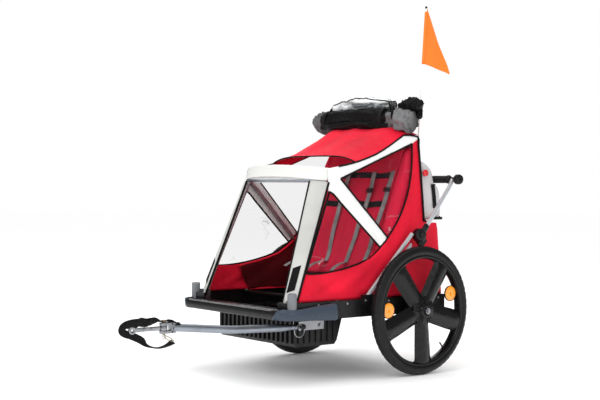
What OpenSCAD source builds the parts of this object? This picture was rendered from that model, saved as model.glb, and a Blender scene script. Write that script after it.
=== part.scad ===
// Two-seat child bicycle trailer: plastic tray on two spoked wheels, folding
// aluminium frame with a fabric cabin, push handle and fold-under tow arm.
// Millimetres. +Z up, +Y to the rear, +X is the trailer's left side.
// Inside the modules Y counts from the wheel axle; the last lines move
// everything back by axle_y, so that the origin is on the floor below the
// centre of the whole trailer's length and width.

/* [Wheels] */
// Outer diameter of the tyres
wheel_d = 500; // [490:5:505]
// Width of the tyres
tyre_w = 44; // [38:1:46]
// Distance between the middles of the two tyres
track = 740; // [738:1:760]
// Number of spokes in each moulded rim
spokes = 5; // [3:1:6]
// Direction of the first spoke, in degrees from the rear
first_spoke = -87; // [-90:3:90]

/* [Tray and bumper] */
// Width of the plastic tray
tray_w = 636; // [630:1:637]
// Height of the tray's underside above the floor
tray_z = 236; // [234:1:238]
// Height of the tray's rim above the floor
rim_z = 302; // [301:1:303]
// How far the bumper reaches in front of the axle
bumper_y = 655; // [650:1:660]
// Overall width of the bumper
bumper_w = 690; // [680:2:692]
// Height of the footwell's underside above the floor
footwell_z = 130; // [110:5:150]
// Width of the footwell
footwell_w = 480; // [440:4:484]

/* [Cabin] */
// Half the cabin's width at the tray's rim
cabin_x = 301; // [300:1:302]
// How far each side leans inwards, in degrees
side_lean = 5.23; // [5:0.01:5.4]
// Thickness of the fabric panels
fabric_t = 3; // [2:0.5:3]

/* [Push handle] */
// Distance of the handle's grip from its hinge
handle_r = 285; // [280:1:300]
// Angle of the handle above the horizon, in degrees
handle_a = 51; // [48:1:51]
// Width of the grip from end to end
grip_w = 752; // [740:2:770]

/* [Tow arm] */
// Sideways place of the tow arm, from the middle
arm_x = 270; // [268:1:272]
// Diameter of the tow arm's tube
arm_d = 28; // [24:1:28]

/* [Flag] */
// Height of the flag's tip above the floor
flag_z = 1457; // [1400:1:1460]
// Height of the pennant along its pole
pennant_h = 229; // [200:1:240]

/* [Hidden] */
$fn = 64;
gap = 0.3;            // clearance between parts that move past each other
run = 0.05;           // radial clearance of a running fit

axle_y = 478.86;     // distance of the axle behind the origin
wheel_r = wheel_d / 2;
wheel_x = track / 2;
tyre_r = tyre_w / 2;
seat_r = wheel_r - 34; // radius at which the tyre sits on the rim
hub_in = wheel_x - 30;
hub_out = wheel_x + 35;
button_x = wheel_x + 48;

tray_x = tray_w / 2;
wall = 6;
tray_front = -600;
tray_rear = 185;
well_front = -524;
well_rear = -288;
rib_pitch = 28;
bar_x = 262;

cabin_z = rim_z - 2;
band_t = 2;
hinge = [31, 540];    // Y and Z of the handle's and rear hoop's common hinge
hub_r = 27;
strut_x = 325;
strut_r = 8;
handle_x = 338.2;
front_pivot = [-572, 302];
rear_top = [92, 922];
hoop_r = 9;

arm_z = 213;
arm_pivot_y = -438;
arm_pin_y = -522;
plate_t = 3;
arm_end = [arm_x - 50, -1062, 242];
hitch_pin_y = -1076;

// X of the cabin's outer side at height z.
function side_x(z) = cabin_x - (z - cabin_z) * tan(side_lean);
// Height above the rim, measured up the leaning side.
function up(z) = (z - cabin_z) / cos(side_lean);
// Points of a cubic curve from a to d, steered by b and c.
function curve(a, b, c, d, n = 8) = [for (i = [0:n]) let (t = i / n, s = 1 - t)
    s * s * s * a + 3 * s * s * t * b + 3 * s * t * t * c + t * t * t * d];
function unit(v) = v / norm(v);

// Outline of the side window in Y and Z: post edge, sill curve, rear edge, rail.
window = concat(
    [[-382, 704], [-514, 407]],
    curve([-500, 406], [-380, 402], [-230, 436], [-112, 515], 7),
    curve([-98, 530], [0, 625], [58, 735], [60, 880], 7),
    [[62, 902], [-329, 755], [-372, 722]]);
// Outline of the whole side in Y and Z.
panel = [[-554, 303], [-392, 708], [-400, 792], [-300, 811], [-240, 821], [-135, 855],
    [19, 935], [100, 934], [106, 590], [180, 590], [180, 303]];

module both_sides() {
    children();
    mirror([1, 0, 0]) children();
}

// A round bar from p to q.
module bar(p, q, r) {
    d = q - p;
    translate(p)
        rotate([0, acos(d[2] / norm(d)), atan2(d[1], d[0])])
            cylinder(r = r, h = norm(d));
}

// A bent round bar through the points, with a rounded corner piece at each bend.
module bent_bar(points, r, corner = 0) {
    for (i = [1:len(points) - 1]) bar(points[i - 1], points[i], r);
    for (i = [1:len(points) - 2]) translate(points[i]) sphere(r = r + corner);
}

// A bar along X at a place in Y and Z.
module cross_bar(x0, x1, yz, r) {
    translate([x0, yz[0], yz[1]]) rotate([0, 90, 0]) cylinder(r = r, h = x1 - x0);
}

// An outline in Y and Z, drawn out along X from x0 to x1.
module slab_x(x0, x1) {
    translate([x0, 0, 0]) rotate([90, 0, 90]) linear_extrude(x1 - x0) children();
}

// An outline in Y and Z laid on the leaning left side, from depth a to b outwards.
module on_side(a, b) {
    translate([cabin_x, 0, cabin_z]) rotate([0, -side_lean, 0])
        translate([a, 0, 0]) rotate([90, 0, 90]) linear_extrude(b - a)
            children();
}
module side_outline(points, grow = 0) {
    polygon([for (p = points) [p[0], up(p[1])]]);
}

// ---- tray, footwell and bumper ----
module tray_walls() {
    difference() {
        translate([-tray_x, tray_front, tray_z])
            cube([tray_w, tray_rear - tray_front, rim_z - tray_z]);
        translate([-tray_x + wall, tray_front + wall, tray_z + wall])
            cube([tray_w - 2 * wall, tray_rear - tray_front - 2 * wall, rim_z]);
        translate([-footwell_w / 2 + 8, well_front + 8, tray_z - 1])
            cube([footwell_w - 16, well_rear - well_front - 16, wall + 2]);
        translate([-footwell_w / 2, tray_front - 1, rim_z - 22])
            cube([footwell_w, wall + 2, 40]);
    }
}
module tray() color("#151515") {
    difference() {
        tray_walls();
        both_sides() cross_bar(tray_x - wall - 1, tray_x + 1, [0, wheel_r], 6.2);
        both_sides() translate([312, -590.5, tray_z - 1]) cylinder(r = 17.2, h = 80);
    }
}
module footwell_section(inset) {
    polygon([[well_front + inset, tray_z + inset], [well_rear - inset, tray_z + inset],
        [well_rear - 27 - inset, footwell_z + 16], [well_rear - 40, footwell_z + inset],
        [well_front + 12, footwell_z + inset], [well_front + 2 + inset, footwell_z + 12]]);
}
module footwell() color("#1b1b1c") {
    half = footwell_w / 2;
    difference() {
        slab_x(-half, half) footwell_section(0);
        slab_x(-half + 4, half - 4) footwell_section(4);
        translate([-half + 8, well_front + 8, tray_z - 5])
            cube([footwell_w - 16, well_rear - well_front - 16, 20]);
    }
    for (x = [-half + 16:rib_pitch:half - 10])
        translate([x - 5, well_front - 6, footwell_z + 14]) cube([10, 8, 88]);
    both_sides() for (y = [well_front + 24:rib_pitch:well_rear - 44])
        translate([half - 2, y - 5, footwell_z + 14]) cube([7, 10, 88]);
}
module bumper_section() {
    polygon([[-bumper_y, 246], [-bumper_y, 274], [-bumper_y + 6, 280], [-bumper_y + 40, 281],
        [tray_front - 0.1, 278], [tray_front - 0.1, 244], [-bumper_y + 5, 242]]);
}
module bumper_bar() color("#17181a") slab_x(-bar_x, bar_x) bumper_section();
module cap_plan() {
    corner = 75;
    half = bumper_w / 2;
    difference() {
        union() {
            translate([bar_x + 0.2, -bumper_y]) square([half - corner - bar_x, 54]);
            translate([half - corner, -bumper_y + corner]) circle(r = corner);
            translate([tray_x + 0.2, -bumper_y + corner])
                square([half - tray_x - 0.2, bumper_y - corner - 395]);
        }
        translate([0, tray_front - 0.2]) square([tray_x + 0.2, 400]);
    }
}
module cap_side() {
    polygon(concat([[-396, 232], [-396, 300]],
        curve([-412, 306], [-470, 306], [-520, 288], [-575, 284], 6),
        [[-bumper_y + 6, 282], [-bumper_y, 274], [-bumper_y, 248], [-575, 241]]));
}
module cap() {
    difference() {
        intersection() {
            translate([0, 0, 220]) linear_extrude(100) cap_plan();
            slab_x(bar_x, 400) cap_side();
        }
        translate([312, -590.5, 200]) cylinder(r = 17.2, h = 150);
    }
}
module bumper_cap_left() color("#454c58") cap();
module bumper_cap_right() color("#454c58") mirror([1, 0, 0]) cap();
module caster_sockets() color("#7b7f86") both_sides() translate([312, -590.5, 0])
    difference() {
        union() {
            translate([0, 0, 250]) cylinder(r = 17, h = 84);
            translate([0, 0, 334]) cylinder(r1 = 17, r2 = 14, h = 5);
        }
        translate([0, 0, 249]) cylinder(r = 8, h = 76);
    }

// ---- axle ----
module axle_tube() color("#8d9095")
    cross_bar(-tray_x + wall + 0.1, tray_x - wall - 0.1, [0, wheel_r + 9], 8);
module axle_brackets() color("#1a1a1a") both_sides() difference() {
    translate([tray_x + 0.1, -34, wheel_r - 13]) cube([12, 68, 62]);
    cross_bar(tray_x - 1, tray_x + 20, [0, wheel_r], 6 + run);
}
module axle_pins() color("#b9bcc0") both_sides() difference() {
    union() {
        cross_bar(tray_x + 0.1, hub_out - 5, [0, wheel_r], 6);
        cross_bar(hub_out - 5, hub_out + 8, [0, wheel_r], 12);
    }
    cross_bar(hub_out - 2.5, hub_out + 9, [0, wheel_r], 7 + run);
}
module release_button() color("white")
    cross_bar(hub_out + 1, button_x, [0, wheel_r], 7);
module release_button_left() release_button();
module release_button_right() mirror([1, 0, 0]) release_button();

// ---- wheels: drawn round the origin with the axle along Z, then stood up ----
module stand_wheel() {
    translate([wheel_x, 0, wheel_r]) rotate([90, 0, 90]) children();
}
module tyre() color("#1c1c1e") stand_wheel() rotate_extrude($fn = 120)
    intersection() {
        translate([wheel_r - tyre_r, 0]) circle(r = tyre_r);
        translate([seat_r, -tyre_r]) square([40, tyre_w]);
    }
module spoke_plan() {
    polygon([[30, -36], [60, -40], [150, -42], [184, -46], [205, -58],
        [205, 58], [184, 46], [150, 42], [60, 40], [30, 36]]);
}
module rim() color("#141415") stand_wheel() difference() {
    union() {
        rotate_extrude($fn = 120) polygon([[seat_r, -17], [seat_r, 17],
            [seat_r - 5, 19], [seat_r - 14, 14], [seat_r - 14, -14], [seat_r - 5, -19]]);
        translate([0, 0, -12]) linear_extrude(24) for (i = [0:spokes - 1])
            rotate(first_spoke + i * 360 / spokes) spoke_plan();
        translate([0, 0, -30]) cylinder(r = 26, h = 65);
        translate([0, 0, -16]) cylinder(r = 52, h = 36);
    }
    translate([0, 0, -31]) cylinder(r = 7, h = 80);
    translate([0, 0, 29.5]) cylinder(r = 13, h = 10);
    for (z = [-31, 20]) translate([0, 0, z]) cylinder(r = 15, h = 9.6);
}
module bearings() color("#9da1a6") stand_wheel() for (z = [-30, 20.1])
    translate([0, 0, z]) difference() {
        cylinder(r = 14.95, h = 8);
        translate([0, 0, -1]) cylinder(r = 6 + run, h = 10);
    }
module reflectors() color("#f7941d") stand_wheel() for (a = [20, 177])
    rotate(a) translate([172, 0, -4]) cylinder(r = 31, h = 10);
module tyre_left() tyre();
module rim_left() rim();
module bearings_left() bearings();
module reflectors_left() difference() { reflectors(); rim(); }
module tyre_right() mirror([1, 0, 0]) tyre();
module rim_right() mirror([1, 0, 0]) rim();
module bearings_right() mirror([1, 0, 0]) bearings();
module reflectors_right() mirror([1, 0, 0]) reflectors_left();

// ---- side struts and the hinge above each wheel ----
module strut(foot_y) {
    difference() {
        bar([strut_x, foot_y, rim_z + 4], [strut_x, foot_y + 240, rim_z + 244], strut_r);
        cross_bar(300, 360, hinge, hub_r + 0.2);
        translate([300, hinge[0] - 30, hinge[1] - 12]) cube([60, 120, 60]);
    }
}
module side_struts() color("#d5d8dc") both_sides() {
    strut(-246);
    difference() {
        strut(-208);
        translate([300, -14, 478]) cube([60, 80, 90]);
    }
}
module strut_feet() color("#18181a") both_sides() difference() {
    translate([tray_x + 0.1, -264, 282]) cube([17, 74, 38]);
    side_struts_cut();
}
module hinge_hubs() color("#17181a") both_sides() {
    cross_bar(317, 329.8, hinge, hub_r);
    difference() {
        translate([317, hinge[0], hinge[1]]) rotate([45, 0, 0])
            translate([0, -26, -46]) cube([12.8, 40, 30]);
        cross_bar(300, 360, hinge, hub_r - 1);
        side_struts_cut();
    }
    cross_bar(248, 317, hinge, 8 - run);
    cross_bar(329.7, 346, hinge, 6);
    cross_bar(343.3, 346, hinge, 11);
}
module side_struts_cut() {
    for (y = [-246, -208])
        bar([strut_x, y, rim_z + 4], [strut_x, y + 240, rim_z + 244], strut_r + 0.05);
}
module seat_tubes() color("#a9adb2") for (y = [-345, -135])
    cross_bar(-tray_x + wall + 0.1, tray_x - wall - 0.1, [y, rim_z - 10], 8);

// ---- front hoop: two posts and the cross bar behind the brow ----
module front_pivots() color("#3c4046") both_sides() {
    cross_bar(257, 291, front_pivot, 5 - run);
    for (x = [252, 291]) translate([x, front_pivot[0] - 12, 242]) cube([5, 24, 72]);
}
post_foot = [272, front_pivot[0], front_pivot[1]];
post_top = [226, -392, 752];
module front_hoop_tube() color("#c9ccd1") difference() {
    union() {
        bent_bar([post_foot, post_top, [-post_top[0], post_top[1], post_top[2]],
            [-post_foot[0], post_foot[1], post_foot[2]]], hoop_r, 2);
        both_sides() cross_bar(263, 281, front_pivot, 12);
    }
    both_sides() cross_bar(250, 300, front_pivot, 5);
    both_sides() for (x = [240, 281.5]) translate([x, -600, 280]) cube([22.5, 60, 34]);
}
// A flat sleeve round each post, its wide sides turned half outwards.
module post_sleeves() color("#d6d7d3") both_sides() {
    d = post_top - post_foot;
    translate(post_foot) rotate([0, acos(d[2] / norm(d)), atan2(d[1], d[0])])
        rotate(-71.7) difference() {
            translate([-32, -11.5, 32]) cube([60, 23, norm(d) - 66]);
            cylinder(r = hoop_r + 0.1, h = norm(d));
        }
}
module brow() color("white") intersection() {
    r = 658;
    translate([0, r - 462, 752]) difference() {
        cylinder(r = r, h = 44, $fn = 360);
        translate([0, 0, -1]) cylinder(r = r - 8, h = 46, $fn = 360);
    }
    translate([-246, -480, 740]) cube([492, 100, 70]);
}

// ---- rear hoop and the rolled cover that it carries ----
hoop_foot = [side_x(hinge[1]) - 22, hinge[0], hinge[1]];
hoop_top = [side_x(rear_top[1]) - 24, rear_top[0], rear_top[1]];
module rear_hoop_tube() color("#c9ccd1") difference() {
    union() {
        bent_bar([hoop_foot, hoop_top, [-hoop_top[0], hoop_top[1], hoop_top[2]],
            [-hoop_foot[0], hoop_foot[1], hoop_foot[2]]], hoop_r, 2);
        both_sides() cross_bar(hoop_foot[0] - 9, hoop_foot[0] + 9, hinge, 15);
    }
    both_sides() cross_bar(200, 320, hinge, 8);
}
roll_at = [40, 996];
roll_ends = [-276, 256];
module cover_roll() color("#141214") {
    cross_bar(roll_ends[0], roll_ends[1], roll_at, 40);
    for (x = roll_ends) translate([x, roll_at[0], roll_at[1]]) sphere(r = 40);
}
clear_path = [[-200, 76, 1068], [-110, 78, 1079], [0, 78, 1079], [95, 76, 1066]];
module clear_roll() color("#dfe6e8", 0.6) {
    bent_bar(clear_path, 34);
    for (i = [0, 3]) translate(clear_path[i]) sphere(r = 34);
}
module roll_bundle() color("#1d1d1f") translate([254, 74, 1062]) sphere(r = 31);
module roll_straps() color("#232325") for (x = [-172, 172])
    translate([x - 12, roll_at[0], roll_at[1]]) rotate([0, 90, 0]) difference() {
        cylinder(r = 42.5, h = 24);
        translate([0, 0, -1]) cylinder(r = 40.3, h = 26);
    }

// ---- fabric cabin ----
module pivot_slot() {
    translate([hinge[0], up(hinge[1])]) circle(r = 9);
}
module side_panel() color("#d8142b") on_side(-fabric_t, 0) difference() {
    side_outline(panel);
    side_outline(window);
    pivot_slot();
}
module side_panel_left() side_panel();
module side_panel_right() mirror([1, 0, 0]) side_panel();
module side_window() color("#e8e4ec", 0.35) on_side(-fabric_t + 0.5, -fabric_t + 1.7)
    side_outline(window);
module side_window_left() side_window();
module side_window_right() mirror([1, 0, 0]) side_window();
module band_plan() {
    polygon([for (p = concat(
        [[-394, 714], [-398, 790], [-300, 809], [-238, 819], [-135, 852], [19, 931], [98, 932],
            [98, 926], [66, 904], [-322, 757], [-97, 532], [-142, 497], [-330, 668]],
        curve([-350, 688], [-362, 700], [-372, 706], [-384, 706], 4))) [p[0], up(p[1])]]);
}
module side_band() color("#f4f4f2") on_side(0.1, 0.1 + band_t) band_plan();
module side_band_left() side_band();
module side_band_right() mirror([1, 0, 0]) side_band();
module roof() color("#e0182f") slab_x(-238, 238) polygon([[-245, 826], [-135, 861], [19, 940],
    [30, 944], [112, 944], [112, 948], [28, 948], [17, 944], [-137, 865], [-245, 830]]);
module rear_plan(z0, z1) {
    polygon([[-side_x(z0) + 4, z0], [side_x(z0) - 4, z0], [side_x(z1) - 4, z1],
        [-side_x(z1) + 4, z1]]);
}
module rear_panel() color("#c8102e")
    translate([0, 110, 0]) rotate([90, 0, 0]) linear_extrude(fabric_t) rear_plan(593.1, 900);
module boot_panel() color("#c8102e") {
    translate([0, 185, 0]) rotate([90, 0, 0]) linear_extrude(fabric_t) rear_plan(303, 590);
    translate([-271, 107, 590]) cube([542, 78, fabric_t]);
}
module cargo_bag() color("#c9c9cc") slab_x(-252, 252) polygon([[111, 836], [168, 796],
    [182, 772], [183, 738], [212, 722], [224, 704], [236, 640], [236, 616], [228, 608],
    [111, 608]]);
module rear_reflectors() color("#d2122a") both_sides()
    translate([262, 124, 786]) rotate([0, 90, 0]) cylinder(r = 14, h = 10);

// ---- seat ----
seat_lean = atan2(180, 460);
module on_back(a, b) {
    translate([0, 60, 880]) rotate([-seat_lean, 0, 0]) translate([0, -b, 0])
        rotate([90, 0, 0]) translate([0, 0, -b + a]) linear_extrude(b - a) children();
}
module seat_back() color("#b5122a") on_back(-10, 10) translate([-212, -540]) square([424, 546]);
module seat_cushion() color("#5a0f18") translate([-225, -378, rim_z + 0.5])
    cube([450, 236, 56]);
module back_webbing() color("#17181a") on_back(10.1, 11.6) for (v = [-126, -250])
    translate([-208, v]) square([416, 22]);
module harness_straps() color("#77787c") on_back(11.7, 13.7) for (x = [-192, -84, 84, 192])
    translate([x - 12, -430]) square([24, 410]);
module harness_buckles() color("#26272a") on_back(13.8, 19) for (x = [-192, -84, 84, 192])
    translate([x - 16, -196]) square([32, 24]);

// ---- flag ----
flag_foot = [211, 131, 868];
flag_lean = [0.072, 0, 1];
function along_pole(z) = flag_foot + flag_lean * (z - flag_foot[2]);
module flag_socket() color("#222326") {
    difference() {
        bar(along_pole(858), along_pole(926), 6.5);
        bar(along_pole(868), along_pole(930), 3 + run);
    }
    difference() {
        translate([205, 96, 905]) cube([18, 36, 8]);
        bar(along_pole(880), along_pole(930), 6.4);
        bar(hoop_top, hoop_foot, hoop_r + 0.1);
        bar(hoop_top, [-hoop_top[0], hoop_top[1], hoop_top[2]], hoop_r + 0.1);
        translate(hoop_top) sphere(r = hoop_r + 2.1);
    }
}
module flag_pole() color("#f1f1ef") bar(along_pole(868.5), along_pole(flag_z), 3);
module pennant() color("#f57f29") difference() {
    foot = along_pole(flag_z - pennant_h - 2);
    translate([foot[0] + 3, 0, 0]) rotate([0, 4.12, 0]) translate([-foot[0] - 3, 0, 0])
        slab_x(foot[0] + 1.9, foot[0] + 4.1) polygon([[124, foot[2]], [124, flag_z - 4],
            [134, flag_z - 4], [200, flag_z - 122], [287, flag_z - 258]]);
    bar(along_pole(flag_z - 300), along_pole(flag_z + 10), 3.1);
}

// ---- push handle ----
function on_handle(r, x) = [x, hinge[0] + r * cos(handle_a), hinge[1] + r * sin(handle_a)];
module handle_tube() color("#d5d8dc") both_sides() {
    difference() {
        bar(on_handle(hub_r - 4, handle_x), on_handle(handle_r - 4, handle_x), 8);
        cross_bar(300, 370, [on_handle(handle_r, 0)[1], on_handle(handle_r, 0)[2]], 9.1);
        cross_bar(300, 330.1, hinge, hub_r + 0.3);
    }
    difference() {
        cross_bar(330.1, 343, hinge, hub_r);
        cross_bar(329, 344, hinge, 6 + run);
    }
}
module handle_grip() color("#101012") {
    at = [on_handle(handle_r, 0)[1], on_handle(handle_r, 0)[2]];
    cross_bar(-grip_w / 2 + 20, grip_w / 2 - 20, at, 9);
    difference() {
        cross_bar(-322, 322, at, 15);
        both_sides() cross_bar(321, 330, at, 20);
    }
    both_sides() cross_bar(grip_w / 2 - 26, grip_w / 2, at, 20);
}

// ---- tow arm ----
module tow_bracket() color("#a5a8ad") difference() {
    union() {
        for (x = [arm_x - 18, arm_x + 15])
            translate([x, -537, 199]) cube([plate_t, 117, tray_z - 199]);
        translate([arm_x - 15.1, -537, tray_z - plate_t]) cube([30.2, 117, plate_t]);
    }
    cross_bar(arm_x - 30, arm_x + 30, [arm_pivot_y, arm_z], 4 + run);
    slab_x(arm_x - 30, arm_x + 30) union() {
        translate([arm_pin_y, arm_z]) circle(r = 5.4);
        polygon([[arm_pin_y - 5.4, arm_z], [arm_pin_y + 5.4, arm_z],
            [arm_pin_y + 14, 190], [arm_pin_y - 7.5, 190]]);
    }
}
module tow_pivot_bolt() color("#8d9095") {
    cross_bar(arm_x - 22, arm_x + 22, [arm_pivot_y, arm_z], 4);
    cross_bar(arm_x + 18.1, arm_x + 24, [arm_pivot_y, arm_z], 7);
    cross_bar(arm_x - 24, arm_x - 18.1, [arm_pivot_y, arm_z], 7);
}
arm_path = [[arm_x, -560, 211], [arm_x, -830, 220], [arm_x - 44, -1034, 238]];
module tow_tube() color("#c3c8cf") {
    difference() {
        union() {
            bent_bar(arm_path, arm_d / 2, 1);
            translate([arm_x - 12, -580, 203]) cube([24, 152, 20]);
        }
        cross_bar(arm_x - 30, arm_x + 30, [arm_pivot_y, arm_z], 4 + run);
        cross_bar(arm_x - 30, arm_x + 30, [arm_pin_y, arm_z], 4.5);
        translate([arm_x - 40, -1060, 230]) cube([60, 20, 40]);
    }
    // Clevis at the front end, with a hole for the upright hitch pin.
    difference() {
        translate([arm_end[0] - 12, -1092, arm_end[2] - 19]) cube([24, 60, 38]);
        translate([arm_end[0] - 20, -1100, arm_end[2] - 8.3]) cube([40, 46, 16.6]);
        translate([arm_end[0], hitch_pin_y, 200]) cylinder(r = 5 + run, h = 100);
    }
}
module tow_lock_pin() color("#dfe2e6") {
    cross_bar(arm_x - 21, arm_x + 26, [arm_pin_y, arm_z], 4.45);
    translate([arm_x + 24, arm_pin_y - 19, arm_z - 14]) rotate([0, 90, 0])
        rotate_extrude() translate([23, 0]) circle(r = 1.8, $fn = 24);
}
module hitch_pin() color("#b9b29a") translate([arm_end[0], hitch_pin_y, 0]) {
    translate([0, 0, arm_end[2] - 24]) cylinder(r = 5, h = 52);
    translate([0, 0, arm_end[2] + 19.1]) cylinder(r = 9, h = 6);
}
module hitch_plate() color("#9ea3a8") difference() {
    union() {
        translate([arm_end[0], hitch_pin_y, arm_end[2] - 8]) cylinder(r = 13, h = 16);
        translate([arm_end[0] - 4, -1200, arm_end[2] - 8]) cube([8, 124, 16]);
        cross_bar(arm_end[0] - 4, arm_end[0] + 4, [-1200, arm_end[2]], 14);
    }
    translate([arm_end[0], hitch_pin_y, 200]) cylinder(r = 5 + run, h = 100);
    cross_bar(arm_end[0] - 20, arm_end[0] + 20, [-1200, arm_end[2]], 5);
}
// Centre line of the webbing in Y and Z: over the hitch, round its nose and back below.
strap_line = concat(
    [[-1040, 268], [-1100, 271], [-1160, 270], [-1200, 272]],
    curve([-1222, 270], [-1252, 266], [-1256, 246], [-1238, 236], 6),
    curve([-1220, 230], [-1190, 214], [-1160, 182], [-1118, 172], 6),
    [[-1090, 175], [-1070, 186]]);
function strap_side(i) = let (n = len(strap_line) - 1,
    t = unit(strap_line[min(i + 1, n)] - strap_line[max(i - 1, 0)])) 1.2 * [-t[1], t[0]];
module safety_strap() color("#131314") {
    n = len(strap_line) - 1;
    difference() {
        slab_x(arm_end[0] - 12, arm_end[0] + 12) polygon(concat(
            [for (i = [0:n]) strap_line[i] + strap_side(i)],
            [for (i = [n:-1:0]) strap_line[i] - strap_side(i)]));
        translate([arm_end[0], hitch_pin_y, 250]) cylinder(r = 9.3, h = 40);
    }
}

module place() translate([0, axle_y, 0]) children();

place() tray();
place() footwell();
place() bumper_bar();
place() bumper_cap_left();
place() bumper_cap_right();
place() caster_sockets();
place() axle_tube();
place() axle_brackets();
place() axle_pins();
place() seat_tubes();
place() side_struts();
place() strut_feet();
place() hinge_hubs();
place() front_pivots();
place() side_panel_left();
place() side_panel_right();
place() side_window_left();
place() side_window_right();
place() side_band_left();
place() side_band_right();
place() roof();
place() rear_panel();
place() boot_panel();
place() cargo_bag();
place() rear_reflectors();
place() seat_cushion();
place() seat_back();
place() back_webbing();
place() harness_straps();
place() harness_buckles();
place() tow_bracket();
place() tow_pivot_bolt();
place() tyre_left();
place() rim_left();
place() bearings_left();
place() reflectors_left();
place() tyre_right();
place() rim_right();
place() bearings_right();
place() reflectors_right();
place() release_button_left();
place() release_button_right();
place() front_hoop_tube();
place() post_sleeves();
place() brow();
place() rear_hoop_tube();
place() cover_roll();
place() clear_roll();
place() roll_bundle();
place() roll_straps();
place() flag_socket();
place() flag_pole();
place() pennant();
place() handle_tube();
place() handle_grip();
place() tow_tube();
place() tow_lock_pin();
place() hitch_plate();
place() hitch_pin();
place() safety_strap();
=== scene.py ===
"""Looks for a two-seat child bicycle trailer. Metres; +Z up, +Y to the rear, +X the trailer's left side."""
import math

import bmesh
import bpy
from mathutils import Matrix, Vector, noise
from mathutils.geometry import delaunay_2d_cdt
from mathutils.kdtree import KDTree


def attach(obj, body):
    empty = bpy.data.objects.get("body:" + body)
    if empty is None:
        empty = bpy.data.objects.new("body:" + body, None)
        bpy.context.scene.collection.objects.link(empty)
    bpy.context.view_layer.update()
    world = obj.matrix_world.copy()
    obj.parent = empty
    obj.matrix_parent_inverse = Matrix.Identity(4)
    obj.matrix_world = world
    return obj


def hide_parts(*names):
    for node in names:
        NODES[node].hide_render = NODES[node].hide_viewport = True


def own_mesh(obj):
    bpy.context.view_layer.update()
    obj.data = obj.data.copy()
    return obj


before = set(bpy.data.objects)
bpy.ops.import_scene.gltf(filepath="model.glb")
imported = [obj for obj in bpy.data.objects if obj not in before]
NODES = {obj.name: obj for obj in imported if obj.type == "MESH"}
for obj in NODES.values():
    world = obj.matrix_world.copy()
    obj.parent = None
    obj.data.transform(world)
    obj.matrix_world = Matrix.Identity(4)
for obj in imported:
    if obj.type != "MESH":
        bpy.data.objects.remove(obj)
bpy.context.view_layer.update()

AXLE_Y = 0.47886      # the wheel axle's place behind the origin
MM = 0.001
SIDES = ((1, "left"), (-1, "right"))


def P(x, y, z):
    """A point given in millimetres from the axle, in the shared frame."""
    return Vector((x * MM, y * MM + AXLE_Y, z * MM))


def around(n):
    """The angles of n even steps round a full turn."""
    return [2 * math.pi * k / n for k in range(n)]


def power(value, exponent):
    """The value's size raised to a power, its sign kept: below 1 it squares off a sine or cosine."""
    return math.copysign(abs(value) ** exponent, value)


# ---------------------------------------------------------------- camera, light, floor
def look(azimuth, elevation, roll):
    """The camera's three axes as a matrix: right, up, and back towards the camera."""
    a, e, r = map(math.radians, (azimuth, elevation, roll))
    back = Vector((math.sin(a) * math.cos(e), -math.cos(a) * math.cos(e), math.sin(e)))
    right = (-back).cross(Vector((0, 0, 1))).normalized()
    up = right.cross(-back)
    x = right * math.cos(r) + up * math.sin(r)
    y = -right * math.sin(r) + up * math.cos(r)
    return Matrix((x, y, back)).transposed()


CAMERA_PLACE = (3651.7, -3231.8, 713.9)         # in millimetres from the axle
CAMERA_AIM = (51.32, 0.49, 0.51)                # azimuth, elevation and roll, in degrees
FOCAL, PICTURE_WIDTH = 1180.25, 600             # both in pixels
FILM_WIDTH = 36.0
REFLECTED_WORLD = -0.78                         # what the backdrop loses where it is seen in a reflection

camera = bpy.data.objects.new("camera", bpy.data.cameras.new("camera"))
bpy.context.collection.objects.link(camera)
camera.matrix_world = Matrix.Translation(P(*CAMERA_PLACE)) @ look(*CAMERA_AIM).to_4x4()
camera.data.sensor_width = FILM_WIDTH
camera.data.lens = FILM_WIDTH * FOCAL / PICTURE_WIDTH
bpy.context.scene.camera = camera


def area_light(name, place, target, size, power):
    data = bpy.data.lights.new(name, "AREA")
    data.shape = "RECTANGLE"
    data.size, data.size_y = size
    data.energy = power
    lamp = bpy.data.objects.new(name, data)
    lamp.location = place
    lamp.rotation_euler = (Vector(target) - Vector(place)).to_track_quat("-Z", "Y").to_euler()
    bpy.context.collection.objects.link(lamp)


area_light("key", (1.2, -3.6, 3.6), (0, 0, 0.6), (2.6, 2.2), 70)
area_light("fill", (4.2, -0.6, 1.8), (0, 0.1, 0.5), (2.0, 2.0), 20)
area_light("top", (-0.4, 0.6, 4.2), (0, 0.2, 0.5), (3.0, 3.0), 44)
area_light("rim", (-3.2, 2.6, 2.2), (0, 0.2, 0.7), (2.0, 2.0), 24)
bpy.context.scene.view_settings.view_transform = "Standard"
world = bpy.data.worlds.new("studio")
bpy.context.scene.world = world
world.use_nodes = True
world.node_tree.nodes["Background"].inputs[0].default_value = (1, 1, 1, 1)
nodes, links = world.node_tree.nodes, world.node_tree.links
dim = nodes.new("ShaderNodeMath")
dim.operation = "MULTIPLY_ADD"
dim.inputs[1].default_value, dim.inputs[2].default_value = REFLECTED_WORLD, 1.0
links.new(nodes.new("ShaderNodeLightPath").outputs["Is Glossy Ray"], dim.inputs[0])
links.new(dim.outputs[0], nodes["Background"].inputs[1])


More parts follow.
